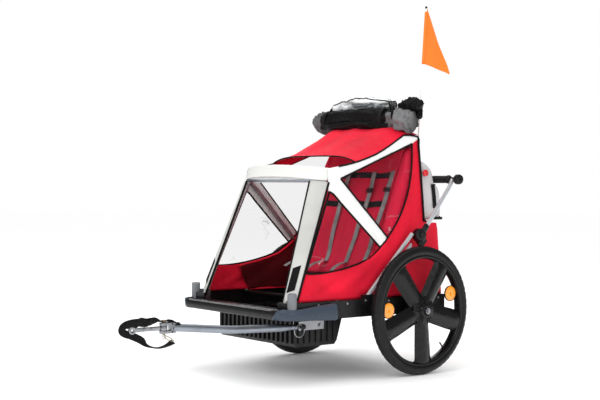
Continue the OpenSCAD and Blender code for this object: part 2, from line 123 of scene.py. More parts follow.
# ---------------------------------------------------------------- node materials
class Look:
    """A Principled material under construction, with short calls for the nodes it needs."""

    def __init__(self, name, colour, rough=0.5, **fixed):
        self.m = bpy.data.materials.new(name)
        self.m.use_nodes = True
        self.t = self.m.node_tree
        self.b = self.t.nodes["Principled BSDF"]
        self.b.inputs["Base Color"].default_value = (*colour, 1)
        self.b.inputs["Roughness"].default_value = rough
        for key, value in fixed.items():
            self.b.inputs[key.replace("_", " ")].default_value = value
        self.xyz = self.t.nodes.new("ShaderNodeTexCoord").outputs["Object"]
        self.height = None

    def node(self, kind, inputs=(), **settings):
        n = self.t.nodes.new(kind)
        for key, value in settings.items():
            setattr(n, key, value)
        for key, value in dict(inputs).items():
            if hasattr(value, "is_linked"):
                self.t.links.new(value, n.inputs[key])
            else:
                n.inputs[key].default_value = value
        return n

    def math(self, kind, a, b=0.0):
        return self.node("ShaderNodeMath", {0: a, 1: b}, operation=kind).outputs[0]

    def noise(self, scale, detail=3.0, stretch=(1, 1, 1)):
        place = self.node("ShaderNodeMapping", {"Vector": self.xyz, "Scale": stretch}).outputs[0]
        return self.node("ShaderNodeTexNoise",
                         {"Vector": place, "Scale": scale, "Detail": detail}).outputs["Fac"]

    def bands(self, axis, pitch):
        """Stripes across an axis, one every pitch metres, from 0 to 1."""
        return self.node("ShaderNodeTexWave", {"Vector": self.xyz, "Scale": 0.31416 / pitch},
                         bands_direction=axis).outputs["Fac"]

    def cells(self, scale):
        return self.node("ShaderNodeTexVoronoi", {"Vector": self.xyz, "Scale": scale}).outputs["Distance"]

    def tint(self, fac, low, high, a=0.35, b=0.65):
        """Base colour from low to high as fac runs from a to b."""
        ramp = self.node("ShaderNodeMapRange", {0: fac, 1: a, 2: b}).outputs[0]
        mix = self.node("ShaderNodeMix", {0: ramp}, data_type="RGBA")
        mix.inputs[6].default_value = (*low, 1)
        mix.inputs[7].default_value = (*high, 1)
        self.t.links.new(mix.outputs[2], self.b.inputs["Base Color"])
        return self

    def roughen(self, fac, low, high, a=0.3, b=0.7):
        ramp = self.node("ShaderNodeMapRange", {0: fac, 1: a, 2: b, 3: low, 4: high}).outputs[0]
        self.t.links.new(ramp, self.b.inputs["Roughness"])
        return self

    def bump(self, fac, distance, strength=1.0):
        inputs = {"Height": fac, "Distance": distance, "Strength": strength}
        if self.height:
            inputs["Normal"] = self.height
        self.height = self.node("ShaderNodeBump", inputs).outputs[0]
        self.t.links.new(self.height, self.b.inputs["Normal"])
        return self


def shade(colour, k):
    return tuple(c * k for c in colour)


def cloth(name, colour, pitch=0.0014, axes=("X", "Z"), rough=0.72, deep=0.82, sheen=0.03):
    """Coated plain weave, with faint uneven dye and soft creases."""
    m = Look(name, colour, rough, Sheen_Weight=sheen, Sheen_Roughness=0.4, Specular_IOR_Level=0.18)
    weave = m.math("MULTIPLY", m.bands(axes[0], pitch), m.bands(axes[1], pitch))
    # uneven dye; where the darker tone is deep, as for grey_mesh, painted shade of folds
    dye_and_fold_shade = m.noise(6, 5)
    m.tint(dye_and_fold_shade, shade(colour, deep), shade(colour, 1.08))
    m.roughen(m.noise(45), rough - 0.1, rough + 0.1)
    return m.bump(m.noise(28, 4), 0.003, 0.35).bump(weave, 0.0003, 0.35).m


def plastic(name, colour, rough=0.45, grain=900, depth=0.00012, scuff=1.5, shine=0.34):
    """Moulded plastic with a fine spark-eroded grain and light scuffs."""
    m = Look(name, colour, rough, Specular_IOR_Level=shine)
    scratched = m.noise(14, 6, (1, 1, 3))
    m.tint(scratched, colour, shade(colour, scuff), 0.5, 0.8)
    m.roughen(m.noise(60, 5), rough - 0.08, rough + 0.12)
    return m.bump(m.noise(grain, 2), depth, 0.6).m


def metal(name, colour, rough, lines=(1, 1, 40), metallic=1.0):
    """Drawn or plated metal: fine lines along the part and dull handled patches."""
    m = Look(name, colour, rough, Metallic=metallic)
    m.tint(m.noise(9, 5), shade(colour, 0.82), colour)
    m.roughen(m.noise(24, 4), rough - 0.08, rough + 0.14)
    return m.bump(m.noise(260, 2, lines), 0.00005, 0.5).m


RED = (0.72, 0.006, 0.030)
CLOTHS = {      # colour, pitch of the weave, axes it runs along, roughness, darker dye, sheen
    "red_side": (RED, 0.0014, ("Y", "Z")),
    "red_flat": (RED, 0.0014, ("X", "Y")),
    "red_seat": ((0.68, 0.008, 0.045), 0.0018, ("X", "Z")),
    # painted shade: the seat cushions' red darkened to stand for the cabin's shade
    "dark_red": ((0.17, 0.002, 0.009), 0.0018, ("X", "Y")),
    # painted shade: a near-black red for the sheets inside the side walls that stand for the cabin's shade
    "lining": ((0.085, 0.001, 0.004), 0.0018, ("Y", "Z")),
    "white_flat": ((0.86, 0.86, 0.86), 0.0012, ("X", "Y"), 0.5, 0.93, 0.02),
    "white_side": ((0.86, 0.86, 0.85), 0.0012, ("Y", "Z"), 0.5, 0.93, 0.02),
    "sleeve": ((0.50, 0.50, 0.48), 0.0012, ("X", "Z"), 0.55, 0.86, 0.02),
    "grey_bag": ((0.55, 0.54, 0.55), 0.0016, ("X", "Z"), 0.7, 0.85, 0.04),
    "black_cloth": ((0.004, 0.0035, 0.004), 0.0015, ("X", "Y"), 0.6, 0.6, 0.0),
    # painted shade: its darker tone is deepened to 0.10, so dark patches stand for shade in the mesh's folds
    "grey_mesh": ((0.20, 0.20, 0.205), 0.003, ("X", "Z"), 0.8, 0.10, 0.0),
    "flag": ((0.88, 0.21, 0.022), 0.0010, ("Y", "Z"), 0.55, 0.92, 0.03),
    "piping": ((0.004, 0.004, 0.004), 0.0010, ("Y", "Z"), 0.6, 0.7, 0.0),
}
PLASTICS = {    # colour, roughness, fineness and depth of the grain, scuffs, shine
    # painted shade: mauve-brown for the rod inside the band, the colour of the band's shaded inner strip
    "mauve_rod": ((0.17, 0.10, 0.11), 0.5),
    # painted highlight: lighter grey for the lip that stands for the beam's top edge catching the sky
    "bar_edge": ((0.12, 0.12, 0.125), 0.28, 900, 0.00012, 1.5, 0.3),
    "tray": ((0.005, 0.005, 0.0055), 0.36),
    "tub": ((0.005, 0.005, 0.006), 0.38),
    "slate": ((0.040, 0.055, 0.078), 0.34, 900, 0.00012, 1.2, 0.3),
    "socket": ((0.17, 0.18, 0.19), 0.36, 900, 0.00012, 1.15, 0.3),
    "rim": ((0.0025, 0.0025, 0.0032), 0.30, 700, 0.00008),
    "buckle": ((0.005, 0.005, 0.006), 0.34),
    "rubber": ((0.0045, 0.0045, 0.005), 0.5, 500, 0.0002, 1.7),
    "tyre": ((0.003, 0.003, 0.0036), 0.46, 420, 0.0002, 1.7),
    "visor": ((0.70, 0.70, 0.68), 0.32, 500, 0.00004, 0.97, 0.3),
    "rod": ((0.86, 0.86, 0.84), 0.3, 500, 0.00005, 0.95),
}
METALS = {      # colour, roughness, stretch of the drawn lines, how metallic
    "alu": ((0.36, 0.39, 0.44), 0.34),
    "silver": ((0.62, 0.64, 0.67), 0.34, (1, 1, 40), 0.55),
    "zinc": ((0.40, 0.41, 0.43), 0.36, (1, 1, 1)),
    "brass": ((0.42, 0.36, 0.24), 0.34, (1, 1, 1)),
}
MAT = {name: make(name, *values) for make, looks in ((cloth, CLOTHS), (plastic, PLASTICS), (metal, METALS))
       for name, values in looks.items()}


def webbing(name, colour, along="Z", across="X"):
    """Ribbed strap: close ribs across it, with a heavier selvedge thread along it."""
    m = Look(name, colour, 0.7, Sheen_Weight=0.04, Specular_IOR_Level=0.15)
    m.tint(m.noise(30, 4), shade(colour, 0.75), shade(colour, 1.15))
    return m.bump(m.bands(along, 0.0022), 0.0005, 0.7).bump(m.bands(across, 0.0035), 0.0003, 0.5).m


def vinyl_painted_glints(name, colour, alpha):
    """Window film: faintly smoked, with a few fine white glints painted along creases where it has been
    folded.
    """
    m = Look(name, colour, 0.12, Specular_IOR_Level=0.06)
    near = m.math("ABSOLUTE", m.math("SUBTRACT", m.noise(11, 2, (1, 0.8, 2.2)), 0.5))
    crease = m.node("ShaderNodeMapRange", {0: near, 1: 0.0, 2: 0.006, 3: 1.0, 4: 0.0}).outputs[0]
    where = m.node("ShaderNodeMapRange", {0: m.noise(5.5, 2), 1: 0.55, 2: 0.61}).outputs[0]
    crease_glint = m.math("MULTIPLY", crease, where)
    # painted reflection: white glints along the crease lines, with the film less clear there
    m.tint(crease_glint, colour, (0.85, 0.85, 0.88), 0.0, 1.0)
    glint_opacity = m.node("ShaderNodeMapRange", {0: crease_glint, 1: 0.0, 2: 1.0, 3: alpha, 4: 0.75}).outputs[0]
    m.t.links.new(glint_opacity, m.b.inputs["Alpha"])
    return m.bump(m.noise(9, 3), 0.008, 0.4).m


def vinyl_painted_reflections(name):
    """Clear film in many layers, nearly opaque: bright and dark streaks run along the roll, painted
    reflections of its layers.
    """
    m = Look(name, (0.8, 0.82, 0.83), 0.12, Alpha=0.86, Coat_Weight=0.5, Coat_Roughness=0.05)
    # painted reflection: streaks of near white and dark grey stretched along the roll
    m.tint(m.noise(34, 3, (0.16, 1, 1)), (0.10, 0.11, 0.12), (0.93, 0.95, 0.96), 0.36, 0.54)
    return m.bump(m.noise(30, 3, (0.2, 1, 1)), 0.004, 0.5).m


def prism(name, colour):
    """Reflector lens, moulded in small cells, with a faint painted glow of its own colour."""
    # painted glow: the lens emits a little light of its own colour
    m = Look(name, colour, 0.12, Coat_Weight=1.0, Coat_Roughness=0.04, Emission_Strength=0.12)
    m.b.inputs["Emission Color"].default_value = (*colour, 1)
    m.tint(m.cells(260), shade(colour, 0.75), shade(colour, 1.1), 0.1, 0.5)
    return m.bump(m.cells(260), 0.0012, 0.7).m


MAT.update(
    harness=webbing("harness", (0.26, 0.25, 0.25)),
    black_web=webbing("black_web", (0.006, 0.006, 0.007), "X", "Z"),
    tow_web=webbing("tow_web", (0.005, 0.005, 0.006), "Y", "X"),
    window=vinyl_painted_glints("window", (0.05, 0.04, 0.05), 0.07),
    clear=vinyl_painted_reflections("clear"),
    amber=prism("amber", (0.95, 0.30, 0.01)),
    red_lens=prism("red_lens", (0.55, 0.004, 0.012)),
)


# ---------------------------------------------------------------- mesh building
def piece(name, verts, faces, mat, body="trailer", smooth=True, levels=0, thick=0.0, bevel=0.0):
    """A mesh object from points in metres, finished and riding on its body."""
    mesh = bpy.data.meshes.new(name)
    mesh.from_pydata([tuple(v) for v in verts], [], faces)
    mesh.validate()
    bm = bmesh.new()
    bm.from_mesh(mesh)
    bmesh.ops.remove_doubles(bm, verts=bm.verts, dist=1e-6)
    bmesh.ops.recalc_face_normals(bm, faces=bm.faces)
    bm.to_mesh(mesh)
    bm.free()
    obj = bpy.data.objects.new(name, mesh)
    bpy.context.collection.objects.link(obj)
    mesh.materials.append(MAT[mat])
    if thick:
        mod = obj.modifiers.new("thickness", "SOLIDIFY")
        mod.thickness, mod.offset = thick, 0.0
    if bevel:
        mod = obj.modifiers.new("bevel", "BEVEL")
        mod.width, mod.segments, mod.limit_method, mod.angle_limit = bevel, 2, "ANGLE", 0.6
    if levels:
        mod = obj.modifiers.new("rounding", "SUBSURF")
        mod.levels = mod.render_levels = levels
    mesh.polygons.foreach_set("use_smooth", [smooth] * len(mesh.polygons))
    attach(obj, body)
    return obj


def grid(rows, closed_u=False, closed_v=False, caps=False):
    """Vertices and faces of a net of points: rows of equal length."""
    n, m = len(rows), len(rows[0])
    verts = [p for row in rows for p in row]
    faces = []
    for i in range(n if closed_v else n - 1):
        for j in range(m if closed_u else m - 1):
            a, b = i * m + j, i * m + (j + 1) % m
            c, d = ((i + 1) % n) * m + (j + 1) % m, ((i + 1) % n) * m + j
            faces.append((a, b, c, d))
    if caps:
        faces.append(tuple(range(m))[::-1])
        faces.append(tuple((n - 1) * m + j for j in range(m)))
    return verts, faces


def join(*nets):
    """Several (vertices, faces) as one."""
    verts, faces = [], []
    for v, f in nets:
        k = len(verts)
        verts += list(v)
        faces += [tuple(i + k for i in face) for face in f]
    return verts, faces


def spline(points, n):
    """n points, evenly spaced by index, on a smooth curve through the given ones."""
    pts = [Vector(p) for p in points]
    ext = [2 * pts[0] - pts[1]] + pts + [2 * pts[-1] - pts[-2]]
    out = []
    for i in range(n):
        t = i / (n - 1) * (len(pts) - 1)
        k = min(int(t), len(pts) - 2)
        u = t - k
        p0, p1, p2, p3 = ext[k:k + 4]
        out.append(0.5 * (2 * p1 + (p2 - p0) * u + (2 * p0 - 5 * p1 + 4 * p2 - p3) * u * u
                          + (3 * p1 - p0 - 3 * p2 + p3) * u ** 3))
    return out


def sweep(path, section, side=None, closed=False, caps=True):
    """A section carried along a path. section(i, n) gives 2-D points; side is the section's first axis."""
    n = len(path)
    rows, last = [], None
    for i in range(n):
        a = path[i - 1] if (i or closed) else path[i]
        b = path[(i + 1) % n] if (i < n - 1 or closed) else path[i]
        t = (b - a).normalized()
        if side is not None:
            s = side(i) if callable(side) else Vector(side)
        elif last is None:
            s = t.orthogonal()
        else:
            s = last
        s = (s - t * s.dot(t)).normalized()
        last = s
        w = t.cross(s)
        rows.append([path[i] + s * p + w * q for p, q in section(i, n)])
    return grid(rows, closed_u=True, closed_v=closed, caps=caps and not closed)


def ring(radius, sides=12):
    pts = [(radius * math.cos(a), radius * math.sin(a)) for a in around(sides)]
    return lambda i, n: pts


def slab(width, height, crown=0.0, sides=6):
    """A flat strap's section, its upper side crowned, with round edges."""
    pts = []
    for k in range(sides + 1):
        u = -1 + 2 * k / sides
        pts.append((u * width / 2, height / 2 * (1 if abs(u) < 1 else 0.3) + crown * (1 - u * u)))
    for k in range(sides + 1):
        u = 1 - 2 * k / sides
        pts.append((u * width / 2, -height / 2 * (1 if abs(u) < 1 else 0.3)))
    return lambda i, n: pts


def tube(name, points, radius, mat, body="trailer", sides=12):
    """A round bar or piping through the points, which are in metres."""
    return piece(name, *sweep([Vector(p) for p in points], ring(radius, sides)), mat, body)


def lathe(profile, n, place):
    """A closed profile of (radius, height) turned about an axis; place(u, v, h) gives the point."""
    rows = [[place(r * math.cos(a), r * math.sin(a), h) for r, h in profile] for a in around(n)]
    return grid(rows, closed_u=True, closed_v=True)


def mirrored(profile, s):
    """A lathe's profile with its heights turned to side s."""
    return [(r, s * h) for r, h in profile]


def inside(p, loop):
    """Whether a 2-D point lies within a loop."""
    x, y = p[0], p[1]
    odd = False
    for i in range(len(loop)):
        (x1, y1), (x2, y2) = loop[i - 1][:2], loop[i][:2]
        if (y1 > y) != (y2 > y) and x < (x2 - x1) * (y - y1) / (y2 - y1) + x1:
            odd = not odd
    return odd


def resample(loop, pitch):
    """The loop with its sides cut into steps of about the pitch."""
    out = []
    for i in range(len(loop)):
        a, b = Vector(loop[i]), Vector(loop[(i + 1) % len(loop)])
        k = max(1, round((b - a).length / pitch))
        out += [a.lerp(b, j / k) for j in range(k)]
    return out


def fill(outer, holes, pitch):
    """Even triangles inside an outline and outside its holes: 2-D points and faces."""
    loops = [resample(loop, pitch) for loop in (outer, *holes)]
    pts, edges = [], []
    for loop in loops:
        k = len(pts)
        edges += [(k + i, k + (i + 1) % len(loop)) for i in range(len(loop))]
        pts += loop
    tree = KDTree(len(pts))
    for i, p in enumerate(pts):
        tree.insert((*p, 0), i)
    tree.balance()
    lo = [min(p[k] for p in outer) for k in (0, 1)]
    hi = [max(p[k] for p in outer) for k in (0, 1)]

    def kept(p):
        return inside(p, outer) and not any(inside(p, h) for h in holes)

    row, y = 0, lo[1]
    while y < hi[1]:
        x = lo[0] + (row % 2) * pitch / 2
        while x < hi[0]:
            if kept((x, y)) and tree.find((x, y, 0))[2] > 0.6 * pitch:
                pts.append(Vector((x, y)))
            x += pitch
        y += pitch * 0.866
        row += 1
    v, _, f = delaunay_2d_cdt([Vector(p) for p in pts], edges, [], 0, 1e-5)[:3]
    f = [t for t in f if kept(sum((v[i] for i in t), Vector((0, 0))) / 3)]
    return v, f


def sheet_piece(name, outline, holes, place, mat, thick, pitch):
    """A sheet cut to an outline in two dimensions; place(a, b) gives the point."""
    v, f = fill(outline, holes, pitch)
    return piece(name, [place(*p) for p in v], f, mat, thick=thick)


def sinks(*objs):
    """Gives each piece of the cabin's fabric its own copy of its mesh; the real fabric sinks onto the tray as
    the frame folds.
    """
    for obj in objs:
        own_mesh(obj)


def wrinkle(p, size, depth, seed=0.0):
    """Soft uneven relief at a point in metres: size and depth in metres."""
    return depth * noise.noise(Vector(p) / size + Vector((seed, 7.3 * seed, -seed)))


def ridge(y, z, a, b, width, depth):
    """A crease from a to b in millimetres: how far it stands out at (y, z)."""
    p, q, r = Vector((y, z)), Vector(a), Vector(b)
    t = max(0.0, min(1.0, (p - q).dot(r - q) / (r - q).length_squared))
    d = (p - q.lerp(r, t)).length
    return depth * math.exp(-(d / width) ** 2) * math.sin(math.pi * min(1, max(0, t)) ** 0.7)


# ---------------------------------------------------------------- the cabin's outlines, in mm
CABIN_X, CABIN_Z, LEAN = 301.0, 300.0, math.tan(math.radians(5.23))


def side_x(z):
    return CABIN_X - (z - CABIN_Z) * LEAN


def on_side(s, y, z, out=0.0):
    """A point of the leaning side, out millimetres proud of it; s is 1 on the left and -1 on the right."""
    return P(s * (side_x(z) + out), y, z)


def curve(a, b, c, d, n):
    """A cubic curve from a to d, pulled towards b and c, in n steps."""
    out = []
    for i in range(n + 1):
        t = i / n
        k = ((1 - t) ** 3, 3 * (1 - t) ** 2 * t, 3 * (1 - t) * t * t, t ** 3)
        out.append(tuple(sum(w * p[j] for w, p in zip(k, (a, b, c, d))) for j in (0, 1)))
    return out


SILL = curve((-514, 407), (-480, 402), (-350, 402), (-200, 452), 8) + \
    curve((-200, 452), (-150, 482), (-118, 506), (-98, 530), 5)[1:]
REAR_EDGE = curve((-98, 530), (0, 625), (58, 735), (62, 902), 10)
WINDOW = [(-382, 704)] + SILL + REAR_EDGE[1:] + [(-329, 755), (-366, 730)]
PANEL = [(-554, 303), (-388, 702), (-373, 722), (-364, 790), (-300, 811), (-240, 821), (-135, 855), (19, 935),
         (60, 936),
         (100, 930), (106, 590), (178, 586), (182, 560), (184, 303)]
BAND_TOP = curve((-380, 795), (-330, 806), (-250, 812), (-135, 855), 7) + \
    curve((-135, 855), (-70, 882), (-20, 914), (19, 935), 5)[1:]
RAIL = [(62, 902), (-329, 755)]
STRUT_FRONT = [(-142, 497), (-330, 668)] + curve((-330, 668), (-352, 690), (-364, 704), (-384, 708), 5)[1:]
BAND = [(-385, 714)] + BAND_TOP + [(98, 930), (98, 922), RAIL[0], (-322, 758), (-97, 532)] + STRUT_FRONT


def panel_relief(y, z, s):
    """How far the red side stands out, in mm: tight at its edges, with long creases from its corners."""
    d = 4.0 * math.sin(math.pi * min(1, max(0, (z - 303) / 300))) * (1 if z < 603 else 0)
    d += ridge(y, z, (-420, 318), (-60, 505), 26, 11) - ridge(y, z, (-470, 330), (-150, 452), 16, 9)
    d += ridge(y, z, (-250, 320), (20, 560), 24, 11) - ridge(y, z, (-150, 312), (70, 610), 18, 9)
    d += ridge(y, z, (-60, 330), (92, 700), 22, 5) + ridge(y, z, (60, 500), (88, 860), 12, 3)
    d += ridge(y, z, (-500, 335), (-300, 398), 12, 4)
    return d + 1000 * wrinkle((s * 0.3, y * MM, z * MM), 0.09, 0.0050, 2.0)


def edge_fade(y, z):
    """0 at the panel's outer edges, 1 inside, so that folds don't lift the seams."""
    d = min(z - 303, 184 - y + (0 if z < 586 else -78), (y + 554 - (z - 303) * 0.4) * 0.92)
    return min(1.0, max(0.0, d / 30))


# ---------------------------------------------------------------- sides, windows, bands, piping
def build_side(s, side):
    body = sheet_piece(f"panel_{side}", PANEL, [WINDOW],
                       lambda y, z: on_side(s, y, z, -1.5 + edge_fade(y, z) * panel_relief(y, z, s)),
                       "red_side", 0.0022, 11)
    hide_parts(f"side_panel_{side}")
    pane = sheet_piece(f"vinyl_{side}", WINDOW, [],
                       lambda y, z: on_side(s, y, z, -1.2
                                            + 1000 * wrinkle((0.1, y * MM, z * MM), 0.13, 0.004, 5 + s)),
                       "window", 0.0008, 16)
    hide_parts(f"side_window_{side}")
    band = sheet_piece(f"band_{side}", BAND, [],
                       lambda y, z: on_side(s, y, z, 2.4
                                            + 1000 * wrinkle((0.2, y * MM, z * MM), 0.07, 0.0012, 3)),
                       "white_side", 0.0016, 9)
    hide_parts(f"side_band_{side}")
    lines = {
        "sill": [(-382, 704)] + SILL, "rear": REAR_EDGE,
        "rail": [RAIL[0], (-322, 757)], "strut_rear": [(-322, 757), (-97, 532)], "strut_front": STRUT_FRONT,
        "roof": BAND_TOP[2:] + [(60, 937), (99, 931)], "back": [(99, 931), (105, 700), (106, 592)],
    }
    out = [body, pane, band]
    for name, line in lines.items():
        pts = [on_side(s, y, z, 3.4) for y, z in divided(line, 8)]
        pipe = tube(f"piping_{name}_{side}", pts, 0.0037, "piping", sides=8)
        out.append(pipe)
    # painted shade: a mauve-brown rod inside the white band, a frame tube coloured as the band's shaded inner
    # strip
    rod = tube(f"band_rod_{side}",
               [on_side(s, y, z, -9) for y, z in divided([(-362, 738), (-330, 712), (-120, 505)], 8)],
               0.0075, "mauve_rod", sides=12)
    out.append(rod)
    # painted shade: a very dark red sheet inside each side wall, below the sill, stands for the cabin's shade
    outline = [(-396, 398), (-390, 402)] + [(y, z - 5) for y, z in SILL if y > -380]
    outline += [(-112, 440), (-88, 303), (-338, 303)]
    outline += curve((-338, 303), (-360, 330), (-380, 362), (-396, 398), 6)[1:-1]
    lining = sheet_piece(f"lining_{side}", outline, [], lambda y, z: on_side(
        s, y, z, -11 + 1000 * wrinkle((s, y * MM, z * MM), 0.08, 0.006, 4)
        + ridge(y, z, (-380, 320), (-120, 470), 24, 6)),
        "lining", 0.0018, 12)
    hem = tube(f"lining_hem_{side}", [on_side(s, y, z, -9) for y, z in outline[:len(SILL)]], 0.0040,
               "red_side", sides=8)
    out += [lining, hem]
    seam = tube(f"seam_{side}", [on_side(s, y, z, 2.5 + edge_fade(y, z) * panel_relief(y, z, s))
                                 for y, z in [(-40 + 3.4 * k, 330 + 12 * k) for k in range(40)] if z < 590],
                0.0011, "red_side", sides=6)
    out.append(seam)
    sinks(*out)


def divided(line, step):
    """The line with more points along its straight parts."""
    pts = []
    for a, b in zip(line, line[1:]):
        k = max(1, round(math.dist(a, b) / (step * 3)))
        pts += [(a[0] + (b[0] - a[0]) * i / k, a[1] + (b[1] - a[1]) * i / k) for i in range(k)]
    return pts + [line[-1]]


for s, side in SIDES:
    build_side(s, side)


# ---------------------------------------------------------------- roof
ROOF_EDGE = curve((-247, 822), (-200, 828), (-165, 843), (-135, 857), 6) + \
    curve((-135, 857), (-70, 884), (-20, 916), (19, 937),
          6)[1:] + curve((19, 937), (45, 944), (80, 944), (108, 936), 5)[1:]


def roof_point(i, u):
    y, z = ROOF_EDGE[i]
    v = i / (len(ROOF_EDGE) - 1)
    x = (side_x(z) + 3.5) * u
    crown = (26 + 17 * math.sin(math.pi * min(0.5, v * 1.1))) * (1 - abs(u) ** 4.5)
    crown *= 1 - 0.8 * max(0, (v - 0.86) / 0.14) ** 1.5
    pull = -7 * math.exp(-(v / 0.12) ** 2) * (1 - u * u)
    creases = 5.5 * math.sin(10 * u + 2.5 * v) * math.exp(-((v - 0.7) / 0.4) ** 2) * (1 - u * u)
    creases += 1000 * wrinkle((x * MM, y * MM, 0), 0.08, 0.006, 9) * (1 - u ** 6) * min(1, 4 * v)
    return P(x, y + pull, z + crown + creases)


rows = [[roof_point(i, -1 + 2 * k / 44) for k in range(45)] for i in range(len(ROOF_EDGE))]
roof = piece("roof_sheet", *grid(rows), "red_flat", thick=0.002, levels=1)
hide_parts("roof")
hem = tube("roof_hem", [p + Vector((0, 0, 0.0005)) for p in rows[0]], 0.0028, "piping", sides=8)
sinks(roof, hem)


# ---------------------------------------------------------------- brow and post sleeves
BROW_HALF = 252


def build_brow():
    """The white visor across the front hoop, its grey seam along the lower edge, painted as the shade under
    that edge, and the cloth header that folds under it.
    """
    rows, n = [], 48
    for i in range(n + 1):
        x = -258 + 516 * i / n
        u = x / BROW_HALF
        y = -466 + 62 * u * u + 24 * u ** 6
        z_lo, z_hi = 763 - 15 * abs(u) ** 2.2, 811 - 13 * abs(u) ** 2.2
        row = []
        for a in around(16):
            c, d = power(math.cos(a), 0.6), power(math.sin(a), 0.75)
            z = (z_lo + z_hi) / 2 + (z_hi - z_lo) / 2 * d
            lean = (z - z_lo) * 0.26 + 5 * math.sin(math.pi * (z - z_lo) / (z_hi - z_lo))
            row.append(P(x, y + 8.5 * c + lean - 4, z))
        rows.append(row)
    brow = piece("brow_visor", *grid(rows, closed_u=True, caps=True), "visor", "front_hoop", levels=1)
    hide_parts("brow")
    # painted shade: the seam is a mid-grey tube, standing for the grey shade line along the visor's lower
    # edge
    lip = tube("brow_seam_shade", [P(u * BROW_HALF, -469 + 62 * u ** 2 + 24 * u ** 6, 764 - 15 * abs(u) ** 2.2)
                             for u in (x / BROW_HALF for x in range(-246, 247, 12))],
               0.0017, "sleeve", "front_hoop", 8)
    rows = []
    for i in range(37):
        x = -234 + 13 * i
        u = x / BROW_HALF
        y0, z0 = -462 + 62 * u * u + 24 * u ** 6, 766 - 15 * abs(u) ** 2.2
        low = 738 + 10 * math.exp(-((abs(u) - 0.9) / 0.12) ** 2)
        path = [(y0, z0), (y0 + (-404 - y0) * 0.5, z0 - 1), (-404, 764), (-399, 752), (-394, low + 2),
                (-386, low + 6),
                (-382, 752), (-386, 763), (-396, 768)]
        rows.append([P(x, y + 0.4 * math.sin(0.9 * i + k), z) for k, (y, z) in enumerate(path)])
    header = piece("brow_header", *grid(rows), "white_flat", "front_hoop", thick=0.0016, levels=1)


SLEEVE_OUTER = [Vector((300.4, -557, 309)), Vector((262.0, -381, 743))]
SLEEVE_INNER = [Vector((251, -588, 288)), Vector((201, -423, 747))]


def sleeve_front(a, b):
    """The way the sleeve's front faces, between a on its outer edge and b on its inner one."""
    front = (a - b).cross((SLEEVE_OUTER[1] - SLEEVE_OUTER[0]).normalized()).normalized()
    return -front if front.y > 0 else front


def build_sleeves():
    """Cloth sleeves round the front hoop's posts, edged with piping, each with a dark patch near its foot."""
    parts = []
    for s, side in SIDES:
        rows = []
        for i in range(29):
            t = i / 28
            a, b = SLEEVE_OUTER[0].lerp(SLEEVE_OUTER[1], t), SLEEVE_INNER[0].lerp(SLEEVE_INNER[1], t)
            front = sleeve_front(a, b)
            mid, half = (a + b) / 2, (a - b) / 2
            row = []
            for ang in around(20):
                swell = 9.5 if math.sin(ang) > 0 else 9
                p = (mid + half * power(math.cos(ang), 0.75) * 0.97
                     + front * swell * math.sin(ang) * (1 + 0.06 * math.sin(9 * t)))
                p += front * 1000 * wrinkle(p * MM, 0.06, 0.0014, s)
                row.append(P(s * p.x, p.y, p.z))
            rows.append(row)
        parts.append(grid(rows, closed_u=True, caps=True))
        for name, edge in (("outer", SLEEVE_OUTER), ("inner", SLEEVE_INNER)):
            pts = [edge[0].lerp(edge[1], t / 12) for t in range(13)]
            pipe = tube(f"sleeve_{name}_{side}", [P(s * p.x, p.y, p.z) for p in pts], 0.0046, "piping",
                        "front_hoop", 8)
    both = piece("sleeves", *join(*parts), "sleeve", "front_hoop")
    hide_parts("post_sleeves")
    for s, side in SIDES:
        a, b = SLEEVE_OUTER[0], SLEEVE_INNER[0]
        along = SLEEVE_OUTER[1] - a
        front = sleeve_front(a, b)
        rows = []
        for i in range(9):
            t = 0.095 + 0.205 * i / 8
            rows.append([])
            for k in range(7):
                q = (b + (a - b) * (0.16 + 0.54 * k / 6)) + along * t + front * (11.8 + 0.4 * math.sin(3 * k))
                rows[-1].append(P(s * q.x, q.y, q.z))
        patch = piece(f"hook_patch_{side}", *grid(rows), "black_cloth", "front_hoop", thick=0.0012)


build_brow()
build_sleeves()


# ---------------------------------------------------------------- rolled cover over the roof
def lumpy(name, path, radius, mat, seed, squash, folds, depth, steps, sides=40):
    """A roll of cloth along a path: radius(t) in metres, with folds running along and round it."""
    pts = spline(path, steps)

    def section(i, n):
        t = i / (n - 1)
        r0 = radius(t)
        out = []
        for a in around(sides):
            p = Vector((math.cos(a), math.sin(a), 5 * t))
            r = r0 * (1 + 0.035 * math.sin(folds * a + 3 * math.sin(6 * t + seed)))
            r += depth * min(1, r0 / 0.02) * (noise.noise(p * 1.9 + Vector((seed, 0, 0))) +
                                              0.55 * noise.noise(p * 4.2 + Vector((0, seed, 0))))
            out.append((r * math.cos(a), r * squash * math.sin(a)))
        return out

    return piece(name, *sweep(pts, section, side=(0, 1, 0)), mat, "rear_hoop")


def rounded_end(r, a):
    """A roll's radius r along its length, closing over the share a at either end."""
    return lambda t: r * math.sqrt(max(0.02, 1 - max(0, (a - t) / a, (t - 1 + a) / a) ** 2))


